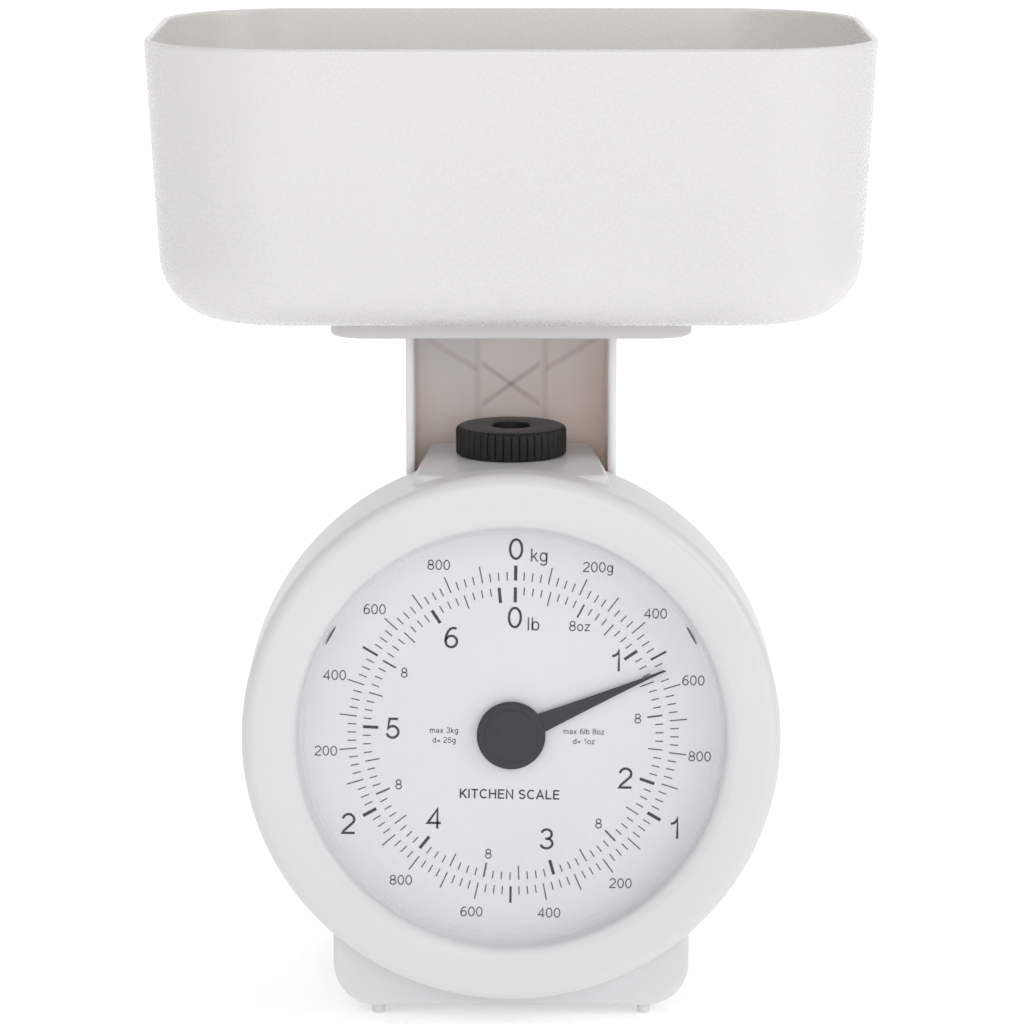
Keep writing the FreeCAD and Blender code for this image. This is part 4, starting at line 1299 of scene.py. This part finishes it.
    def line(self, words: str) -> list[tuple[np.ndarray, bool]]:
        """Strokes of a line of text, centred on the origin.

        Args:
            words: the text.

        Returns:
            Each stroke's points in mm, and whether it is closed.
        """
        shapes = self.shapes()
        length = sum(shapes[letter][0] for letter in words) + self.gap * (len(words) - 1)
        result = []
        start = -length / 2
        for letter in words:
            width, strokes = shapes[letter]
            for stroke in strokes:
                points = (np.array(stroke) + (start, -0.5)) * (self.breadth, 1.0) * self.height
                closed = bool(np.allclose(points[0], points[-1]))
                result.append((points[:-1] if closed else points, closed))
            start += width + self.gap
        return result


@dataclass
class Dial(Assembly):
    """Dial plate, its print, the clear lens and two thin arcs of painted shadow for slots in its rim.
    """

    dial_height: float = DIAL_HEIGHT
    front: float = -42.9
    ink: float = 0.04
    print_lift: float = 0.002
    # Radius, half width and angles of the two thin arcs that paint the shadow in slots at the rim.
    catch_radius: float = 47.0
    catch_half: float = 0.225
    catch_span: tuple[float, float] = (57.5, 63.5)
    kilogram_figures: float = 43.0
    kilogram_labels: float = 42.8
    ounce_labels: float = 28.6
    lens_seat: float = -46.6
    lens_reach: float = 47.8
    lens_thick: float = 1.0
    twist: float = 0.9
    shift: float = 0.45
    small: float = 2.3
    large: float = 4.85
    prints: list = field(default_factory=list)

    def plate(self, plastic: bpy.types.Material, shadow_ink: bpy.types.Material) -> None:
        """Make the dial plate, with two shallow steps and a raised rim, and two thin arcs of painted
        slot shadow.

        Args:
            plastic: material of the plate.
            shadow_ink: material of the thin arcs of painted slot shadow.
        """
        back = box_mm("dial_plate")[1][1]
        face = self.front
        steps = ((0.0, 46.4), (0.05, 46.6), (0.25, 46.7), (0.3, 46.85), (0.3, 47.6))
        steps += ((0.35, 47.75), (0.55, 47.85), (0.6, 48.0), (0.6, 48.5), (0.7, 48.7))
        bore, edge, rim = 2.2, 52.6, face - 2.6
        line = np.array(
            [[back, bore], [face + 0.2, bore], [face, bore + 0.2], [face, 20.0]]
            + [[face - rise, radius] for rise, radius in steps]
            + [[rim + 0.1, 49.4], [rim, 49.7], [rim, edge], [back, edge]]
        )
        centre = Vector((0, 0, self.dial_height))
        piece = turned("dial_face", line, centre, 256, looped=True)
        self.finish(piece, plastic, Body.HOUSING, "dial_white", ("dial_plate",), 25)
        # Painted shadow: two thin arcs in fine ink paint the shade inside two slots at the rim.
        slot_shadows = []
        count = 13
        half = np.sin(np.linspace(0, math.pi, count)) ** 0.5 * self.catch_half
        inner, outer = self.catch_radius - half, self.catch_radius + half
        lower, upper = face - 0.6, face - 0.68
        corners = ((inner, lower), (inner, upper), (outer, upper), (outer, lower))
        for side in (-1, 1):
            span = np.radians(np.linspace(*self.catch_span, count)) * side
            rows = np.stack(
                [
                    np.stack((r * np.sin(span), np.full(count, y), r * np.cos(span)), axis=1)
                    for r, y in corners
                ],
                axis=1,
            )
            rows += np.array(centre)
            slot_shadows.append(loose(surface_mesh("catch", rows, (Cap.FLAT, Cap.FLAT))))
        piece = join("lens_slot_shadows", slot_shadows)
        self.finish(piece, shadow_ink, Body.HOUSING, "dial_white")

    def ticks(
        self, count: int, step: float, inner: np.ndarray, outer: np.ndarray, width: np.ndarray
    ) -> np.ndarray:
        """Corner points of upright strips of ink, one for each tick.

        A corner is angle -> r * (sin, cos) + side * width / 2 * (cos, -sin), at two depths.

        Args:
            count: number of ticks.
            step: degrees between ticks.
            inner: inner radius of each tick.
            outer: outer radius of each tick.
            width: width of each tick.

        Returns:
            Array of ticks, eight corners and (x, y, z).
        """
        angle = np.radians(np.arange(count) * step + self.twist)
        along = np.stack((np.sin(angle), np.cos(angle)), axis=1)
        beside = np.stack((np.cos(angle), -np.sin(angle)), axis=1)
        corners = []
        for depth in (self.front - self.print_lift, self.front - self.ink):
            for radius, side in ((inner, -1), (inner, 1), (outer, 1), (outer, -1)):
                flat = along * radius[:, None] + beside * (side * width / 2)[:, None]
                place = np.stack((flat[:, 0], np.full(count, depth), flat[:, 1]), axis=1)
                corners.append(place)
        return np.stack(corners, axis=1) + np.array((self.shift, 0, self.dial_height))

    def tick_mesh(self, name: str, corners: np.ndarray) -> bpy.types.Object:
        """Piece of closed strips from their corner points, eight for each strip."""
        sides = np.array(
            [[0, 1, 2, 3], [7, 6, 5, 4], [0, 4, 5, 1], [1, 5, 6, 2], [2, 6, 7, 3], [3, 7, 4, 0]]
        )
        start = np.arange(len(corners))[:, None, None] * 8
        faces = (start + sides[None]).reshape(-1, 4).tolist()
        points = corners.reshape(-1, 3) * MM
        if signed_volume(points, faces) < 0:
            faces = [face[::-1] for face in faces]
        mesh = bpy.data.meshes.new(name)
        mesh.from_pydata(points.tolist(), [], faces)
        mesh.update()
        return loose(mesh)

    def scales(self, ink: bpy.types.Material, soft: bpy.types.Material) -> None:
        """Make the two rings of ticks: 25 g outside and 1 oz inside.

        Args:
            ink: material of the bold ticks.
            soft: material of the fine ticks.
        """
        count = 120
        grams = np.arange(count) * 25
        hundreds = grams % 100 == 0
        halves = grams % 500 == 0
        whole = grams % 1000 == 0
        outer = np.select([whole, hundreds], [39.2, 39.7], 37.7)
        width = np.select([whole, halves, hundreds], [0.75, 0.5, 0.28], 0.26)
        strips = self.ticks(count, 360 / count, np.full(count, 35.75), outer, width)
        rings = [("kilogram_bold_ticks", strips[halves], ink)]
        rings.append(("kilogram_ticks", strips[~halves], soft))
        count = 105
        ounces = np.arange(count)
        pounds = (ounces % 16 == 0) | (ounces == count - 1)
        eighths = (ounces % 8 == 0) & ~pounds
        fours = (ounces % 4 == 0) & ~pounds & ~eighths
        inner = np.select([pounds, eighths, fours], [30.7, 30.8, 30.9], 32.4)
        width = np.select([pounds, eighths, fours], [0.7, 0.42, 0.28], 0.26)
        strips = self.ticks(count, OUNCE_DEGREES, inner, np.full(count, 34.2), width)
        rings.append(("pound_bold_ticks", strips[pounds], ink))
        rings.append(("ounce_ticks", strips[~pounds], soft))
        for name, corners, material in rings:
            self.finish(self.tick_mesh(name, corners), material, Body.HOUSING, "charcoal")

    def label(self, words: str, height: float, x: float, rise: float, weight: float = 0.115) -> None:
        """Set a line of lettering centred on a point of the dial.

        Args:
            words: the text.
            height: height of a figure, in mm.
            x: centre to the right of the dial's middle.
            rise: centre above the dial's middle.
            weight: stroke width, as a share of the height.
        """
        lettering = Lettering(height, weight * height)
        turn = math.radians(self.twist)
        for line, closed in lettering.line(words):
            across = line[:, 0] * math.cos(turn) + line[:, 1] * math.sin(turn) + x
            up = line[:, 1] * math.cos(turn) - line[:, 0] * math.sin(turn) + rise
            left, right = ribbon(np.stack((across, up), axis=1), lettering.stroke, closed)
            low, high = self.print_lift, self.ink
            corners = ((left, low), (right, low), (right, high), (left, high))
            rows = np.stack(
                [
                    np.stack((flat[:, 0], np.full(len(flat), self.front - depth), flat[:, 1]), axis=1)
                    for flat, depth in corners
                ],
                axis=1,
            )
            rows += np.array((self.shift, 0, self.dial_height))
            caps = (Cap.NONE, Cap.NONE) if closed else (Cap.FLAT, Cap.FLAT)
            self.prints.append(loose(surface_mesh("stroke", rows, caps, closed)))

    def around(
        self, words: str, height: float, degrees: float, radius: float, nudge: float = 0.0
    ) -> None:
        """Set a label upright at an angle clockwise from the top.

        Args:
            words: the text.
            height: height of a figure, in mm.
            degrees: angle from the top.
            radius: distance from the middle.
            nudge: shift to the right.
        """
        angle = math.radians(degrees + self.twist)
        self.label(words, height, radius * math.sin(angle) + nudge, radius * math.cos(angle))

    def gather(self, name: str, material: bpy.types.Material) -> None:
        """Make one piece of the strokes drawn since the last one, in its ink."""
        self.finish(join(name, self.prints), material, Body.HOUSING, "charcoal")
        self.prints = []

    def numbers(self, ink: bpy.types.Material, soft: bpy.types.Material) -> None:
        """Make the figures and the small words.

        Args:
            ink: material of the large figures and the legend.
            soft: material of the small ones.
        """
        for kilograms in range(3):
            self.around(str(kilograms), self.large, kilograms * 120, self.kilogram_figures)
        self.label("0", self.large, 0.4, 27.2)
        for pounds, radius, swing in (
            (1, 29.0, -1.6),
            (2, 27.6, 2.0),
            (3, 25.7, -1.5),
            (4, 26.7, 4.0),
            (5, 27.4, 0.0),
            (6, 26.6, 0.6),
        ):
            self.around(str(pounds), self.large, pounds * 16 * OUNCE_DEGREES + swing, radius)
        self.gather("dial_figures", ink)
        for grams in range(200, FULL_TURN_GRAMS, 200):
            rest = grams % 1000
            if rest:
                unit = "g" if grams == 200 else ""
                radius, nudge = self.kilogram_labels, 1.2 * len(unit)
                degrees = grams / FULL_TURN_GRAMS * 360
                self.around(f"{rest}{unit}", self.small, degrees, radius, nudge)
        self.label("kg", 3.0, 5.9, 41.6)
        self.label("lb", 3.0, 4.6, 25.7)
        for ounces in range(8, 100, 16):
            unit = "oz" if ounces == 8 else ""
            nudge = 1.6 if unit else 0.0
            degrees = ounces * OUNCE_DEGREES
            self.around(f"8{unit}", self.small, degrees, self.ounce_labels, nudge)
        for words, x, rise in (
            ("max 3kg", -15.7, 1.0),
            ("d= 25g", -15.7, -1.3),
            ("max 6lb 8oz", 16.1, 0.7),
            ("d= 1oz", 16.1, -1.6),
        ):
            self.label(words, 1.3, x, rise, 0.13)
        self.gather("dial_notes", soft)
        self.label("KITCHEN SCALE", 2.2, -0.8, -14.0, 0.16)
        self.gather("dial_legend", ink)

    def lens(self, clear: bpy.types.Material) -> None:
        """Make the lens: a spherical cap of small rise with a flat flange, one mm thick.

        For a cap of radius reach and height rise, the sphere's radius is
        bend = (reach^2 + rise^2) / (2 rise), and the height at a radius r is
        rise - (bend - sqrt(bend^2 - r^2)).

        Args:
            clear: its material.
        """
        low, high = box_mm("lens")
        seat, rim, reach, thick = self.lens_seat, high[0], self.lens_reach, self.lens_thick
        rise = seat - low[1]
        bend = (reach**2 + rise**2) / (2 * rise)
        radius = np.linspace(reach, 0.05, 24)
        sag = rise - (bend - np.sqrt(bend**2 - radius**2))
        outer = np.stack((seat - sag, radius), axis=1)
        inner = np.stack((seat - sag[::-1] + thick, radius[::-1]), axis=1)
        soft = 0.2
        flange = [[seat + thick, rim - soft], [seat + thick - soft, rim]]
        flange += [[seat + soft, rim], [seat, rim - soft]]
        line = np.concatenate((flange, outer, inner))
        centre = Vector((0, 0, self.dial_height))
        piece = turned("dial_lens", line, centre, 160, looped=True)
        self.finish(piece, clear, Body.HOUSING, "clear_lens", ("lens",))


@dataclass
class Pointer(Assembly):
    """Pointer with a tapered blade and a stepped hub."""

    dial_height: float = DIAL_HEIGHT
    angle: float = 66.6
    root_width: float = 4.9
    tip_width: float = 0.35
    hub: float = 7.8
    reach: float = 37.9
    back: float = -43.6
    face: float = -44.15

    def build(self, plastic: bpy.types.Material) -> None:
        """Make the pointer.

        The blade's half width falls from root to tip along its length, and its front is a low
        ridge. The hub is a disc with a chamfer and a shallow step.

        Args:
            plastic: its material.
        """
        along = np.linspace(self.hub - 2.5, self.reach, 20)
        share = (along - along[0]) / (along[-1] - along[0])
        half = (self.root_width * (1 - share) ** 1.2 + self.tip_width * share) / 2
        ridge = 0.28 * (1 - share) + 0.05
        crown = [[-1, 0.0], [-0.92, 0.8], [0.0, 1.0], [0.92, 0.8], [1, 0.0]]
        section = np.array(crown + [[0.9, -0.3], [-0.9, -0.3]])
        x = half[:, None] * section[:, 0]
        lift = np.where(section[:, 1] > 0, section[:, 1], 0)
        front = section[:, 1] > -0.1
        y = self.back + (self.face - self.back) * front - ridge[:, None] * lift
        rows = np.stack((x, y, np.broadcast_to(along[:, None], x.shape)), axis=2)
        blade = loose(surface_mesh("blade", rows, (Cap.FLAT, Cap.FLAT)))
        base = self.back + 0.3
        rise = np.array([0.0, 0.0, 0.2, 1.2, 1.55, 1.6, 1.8, 2.0, 2.0])
        radius = np.array([1.3, 7.5, self.hub, self.hub, 7.45, 6.35, 6.1, 5.7, 0.05])
        disc = turned("hub", np.stack((base - rise, radius), axis=1), Vector((0, 0, 0)), 96)
        piece = join("dial_pointer", [blade, disc])
        turn = Matrix.Rotation(math.radians(self.angle), 4, "Y")
        piece.data.transform(Matrix.Translation((0, 0, self.dial_height * MM)) @ turn)
        self.finish(piece, plastic, Body.POINTER, "charcoal", ("pointer",), 30)


@dataclass
class ZeroKnob(Assembly):
    """Knurled zero knob with a round well in its top."""

    ribs: int = 42
    depth: float = 0.5
    well: float = 4.5
    well_depth: float = 3.2
    top_edge: float = 1.1
    under_edge: float = 0.5
    well_edge: float = 0.4

    def build(self, plastic: bpy.types.Material) -> None:
        """Make the knob.

        On the grip the radius is lessened by depth * g * (1 - |sin(n a / 2)|^0.6), which leaves
        rounded ribs with narrow grooves between them. The factor g is 1 on the side and falls to
        0 over the round edges.

        Args:
            plastic: its material.
        """
        low, high = box_mm("zero_knob")
        radius = (high[0] - low[0]) / 2
        under, top = low[2], high[2]
        centre = Vector((0, (low[1] + high[1]) / 2, 0))
        small, large, soft = self.under_edge, self.top_edge, self.well_edge
        lower = arc((under + small, radius - small), (-small, small), 0, 90, 4)
        upper = arc((top - large, radius - large), (large, large), 90, 0, 7)
        lip = arc((top - soft, self.well + soft), (soft, -soft), 0, 90, 4)
        floor = top - self.well_depth
        bottom = [[floor + 0.3, self.well], [floor, self.well - 0.3], [floor, 0.1]]
        line = np.concatenate(([[under, 0.1]], lower, upper, lip, bottom))
        columns = self.ribs * 12
        rows = revolved(line, centre, columns, "Z")
        angle = np.linspace(0.0, 2 * math.pi, columns, endpoint=False)
        groove = 1 - np.abs(np.sin(angle * self.ribs / 2)) ** 0.6
        grip = np.clip((line[:, 1] - (radius - large)) / 0.6, 0, 1)
        scale = 1 - self.depth * grip[:, None] * groove[None, :] / radius
        middle = np.array(centre)[:2]
        rows[..., :2] = middle + (rows[..., :2] - middle) * scale[..., None]
        piece = loose(surface_mesh("knob_grip", rows, (Cap.POLE, Cap.POLE)))
        self.finish(piece, plastic, Body.KNOB, "knob_black", ("zero_knob",), 40)


@dataclass
class Movement(Assembly):
    """CAD nodes that keep their shape and get a finish, and the weighing spring, made anew as a coil.
    """

    wire_radius: float = 0.6
    pitch: float = 2.8
    turn_steps: int = 28
    wire_steps: int = 10
    finishes: dict[str, RolledMetal] = field(
        default_factory=lambda: {
            "zinc_steel": RolledMetal("zinc_steel", (0.66, 0.67, 0.69), (0.5, 0.51, 0.53)),
            "screw_steel": RolledMetal("screw_steel", (0.6, 0.61, 0.63), (0.45, 0.45, 0.46), 0.26),
            "spring_steel": RolledMetal("spring_steel", (0.52, 0.52, 0.54), (0.36, 0.36, 0.38), 0.3),
            "brass": RolledMetal("brass", (0.8, 0.62, 0.3), (0.62, 0.46, 0.2), 0.28),
        }
    )

    def build(self, plastics: dict[str, bpy.types.Material]) -> None:
        """Dress each CAD node whose slot in the record has a material made here.

        Args:
            plastics: materials already made, by slot.
        """
        made = {slot: finish.make() for slot, finish in self.finishes.items()}
        made.update(plastics)
        for part in frame["record"]["subparts"]:
            node = frame["nodes"][part["node"]]
            material = made.get(part["material_slot"])
            if material is None:
                continue
            node.data.materials.clear()
            node.data.materials.append(material)
            log.info("%s: dressed as %s", part["node"], material.name)
        self.spring(made["spring_steel"])

    def spring(self, steel: bpy.types.Material) -> None:
        """Make the weighing spring, a coil that fills the CAD spring's box between its anchor and its
        plug.

        The wire's middle runs at centre + radius (cos a, sin a) with height low + pitch a / 2 pi,
        and each section is wire_radius (outward cos b, up sin b).

        Args:
            steel: its material.
        """
        low, high = box_mm("main_spring")
        centre = (low + high) / 2
        wire = self.wire_radius
        coil = (high[0] - low[0]) / 2 - wire
        bottom, top = low[2] + wire, high[2] - wire
        turns = (top - bottom) / self.pitch
        angle = np.linspace(0.0, math.tau * turns, int(turns * self.turn_steps) + 1)[:, None]
        section = np.linspace(0.0, math.tau, self.wire_steps, endpoint=False)[None, :]
        reach = coil + wire * np.cos(section)
        rows = np.stack(
            (
                centre[0] + reach * np.cos(angle),
                centre[1] + reach * np.sin(angle),
                bottom + self.pitch * angle / math.tau + wire * np.sin(section),
            ),
            axis=2,
        )
        piece = loose(surface_mesh("weighing_spring", rows, (Cap.POLE, Cap.POLE)))
        piece.data.materials.append(steel)
        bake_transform(piece)
        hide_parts("main_spring")
        log.info("%s: %d faces", piece.name, len(piece.data.polygons))


@dataclass
class Studio:
    """Pale sweep, soft lights and the camera."""

    camera_place: tuple[float, float, float] = (0.0002, -1.05405, 0.31314)
    pitch: float = 10.84
    focal: float = 160.57

    def sweep(self) -> None:
        """Make the floor with a curved back wall."""
        bend = arc((1.2, 0.5), (0.5, 0.5), -90, 0, 24)
        line = np.concatenate(([[-2.5, 0.0]], bend, [[1.7, 3.0]]))
        width = np.array([-3.0, 3.0])
        rows = np.stack(
            (
                np.broadcast_to(width[None, :], (len(line), 2)),
                np.repeat(line[:, :1], 2, axis=1),
                np.repeat(line[:, 1:], 2, axis=1),
            ),
            axis=2,
        )
        count = len(line)
        index = np.arange(count - 1)[:, None] * 2 + np.array([[0, 1, 3, 2]])
        mesh = bpy.data.meshes.new("studio_floor")
        mesh.from_pydata(rows.reshape(-1, 3).tolist(), [], index.tolist())
        mesh.shade_smooth()
        mesh.materials.append(StudioPaper().make())
        floor = loose(mesh)

    def lamp(
        self,
        name: str,
        place: Sequence[float],
        aim: Sequence[float],
        size: float,
        power: float,
        spread: float,
    ) -> None:
        """Add a square soft light.

        Args:
            name: name of the light.
            place: where it hangs, in metres.
            aim: the point that it faces.
            size: length of its side, in metres.
            power: its power, in watts.
            spread: full angle of its beam, in degrees.
        """
        light = bpy.data.lights.new(name, "AREA")
        light.shape = "SQUARE"
        light.size = size
        light.energy = power
        light.spread = math.radians(spread)
        thing = bpy.data.objects.new(name, light)
        bpy.context.scene.collection.objects.link(thing)
        thing.location = place
        way = Vector(aim) - Vector(place)
        thing.rotation_euler = way.to_track_quat("-Z", "Y").to_euler()

    def build(self) -> None:
        """Set up the studio."""
        self.sweep()
        scene = bpy.context.scene
        world = bpy.data.worlds.new("studio_air")
        scene.world = world
        world.use_nodes = True
        air = world.node_tree.nodes["Background"]
        air.inputs["Color"].default_value = (1.0, 1.0, 1.0, 1.0)
        air.inputs["Strength"].default_value = 0.47
        middle = (0.0, 0.0, 0.12)
        for name, place, aim, size, power, spread in (
            ("key_light", (-0.8, -1.3, 1.2), middle, 1.0, 5.0, 180.0),
            ("side_light", (1.3, -0.7, 0.7), middle, 0.8, 5.8, 180.0),
            ("front_light", (0.1, -1.85, 0.55), (0.0, 0.0, 0.1), 0.9, 6.0, 180.0),
            ("floor_light", (0.0, 1.15, 1.5), (0.0, 1.2, 0.0), 1.5, 3.0, 90.0),
        ):
            self.lamp(name, place, aim, size, power, spread)
        scene.view_settings.view_transform = "Standard"
        camera_data = bpy.data.cameras.new("front_camera")
        camera_data.sensor_width = 36.0
        camera_data.lens = self.focal
        camera_data.clip_end = 20.0
        camera = bpy.data.objects.new("front_camera", camera_data)
        scene.collection.objects.link(camera)
        camera.location = self.camera_place
        camera.rotation_euler = (math.radians(90 - self.pitch), 0, 0)
        scene.camera = camera


def main() -> None:
    """Build every sub-assembly in order and report each piece."""
    logging.basicConfig(level=logging.INFO, format="%(name)s: %(message)s")
    white = MouldedPlastic(
        "housing_plastic", (0.70, 0.69, 0.70), (0.685, 0.675, 0.685), 0.32, 0.03, 0.06, 0.1
    ).make()
    bowl_white = MouldedPlastic(
        "bowl_plastic", (0.70, 0.697, 0.68), (0.69, 0.687, 0.67), 0.27, 0.0, 0.05, 0.4
    ).make()
    dial_white = MouldedPlastic(
        "dial_plastic", (0.76, 0.755, 0.79), (0.745, 0.74, 0.775), 0.5, 0.05, 0.0
    ).make()
    charcoal = MouldedPlastic(
        "pointer_plastic", (0.04, 0.04, 0.047), (0.034, 0.034, 0.04), 0.5, gloss=0.35
    ).make()
    black = MouldedPlastic(
        "knob_plastic", (0.017, 0.017, 0.018), (0.011, 0.011, 0.012), 0.4, 0.3, gloss=0.25
    ).make()
    # Painted shade: the plate gets a greyer copy of the white plastic for the shadow of the bowl above
    # it.
    plate_painted_shade = MouldedPlastic(
        "platform_shaded_plastic", (0.63, 0.615, 0.61), (0.615, 0.6, 0.595), 0.4, 0.04
    ).make()
    foot_white = MouldedPlastic(
        "foot_plastic", (0.72, 0.72, 0.71), (0.68, 0.68, 0.67), 0.55
    ).make()
    ink = PrintedInk("bold_ink", (0.035, 0.035, 0.045)).make()
    soft_ink = PrintedInk("fine_ink", (0.09, 0.09, 0.105)).make()
    Movement().build(
        {"housing_white": white, "pillar_white": white, "charcoal": charcoal, "knob_black": black}
    )
    Bowl().build(bowl_white)
    Platform().build(plate_painted_shade)
    Pillar().build(PillarPlastic().make(), white)
    housing = Housing()
    housing.front(white)
    housing.rear(white)
    housing.feet(foot_white)
    dial = Dial()
    dial.plate(dial_white, soft_ink)
    dial.scales(ink, soft_ink)
    dial.numbers(ink, soft_ink)
    dial.lens(ClearCover().make())
    Pointer().build(charcoal)
    ZeroKnob().build(black)
    Studio().build()


if __name__ == "__main__":
    main()
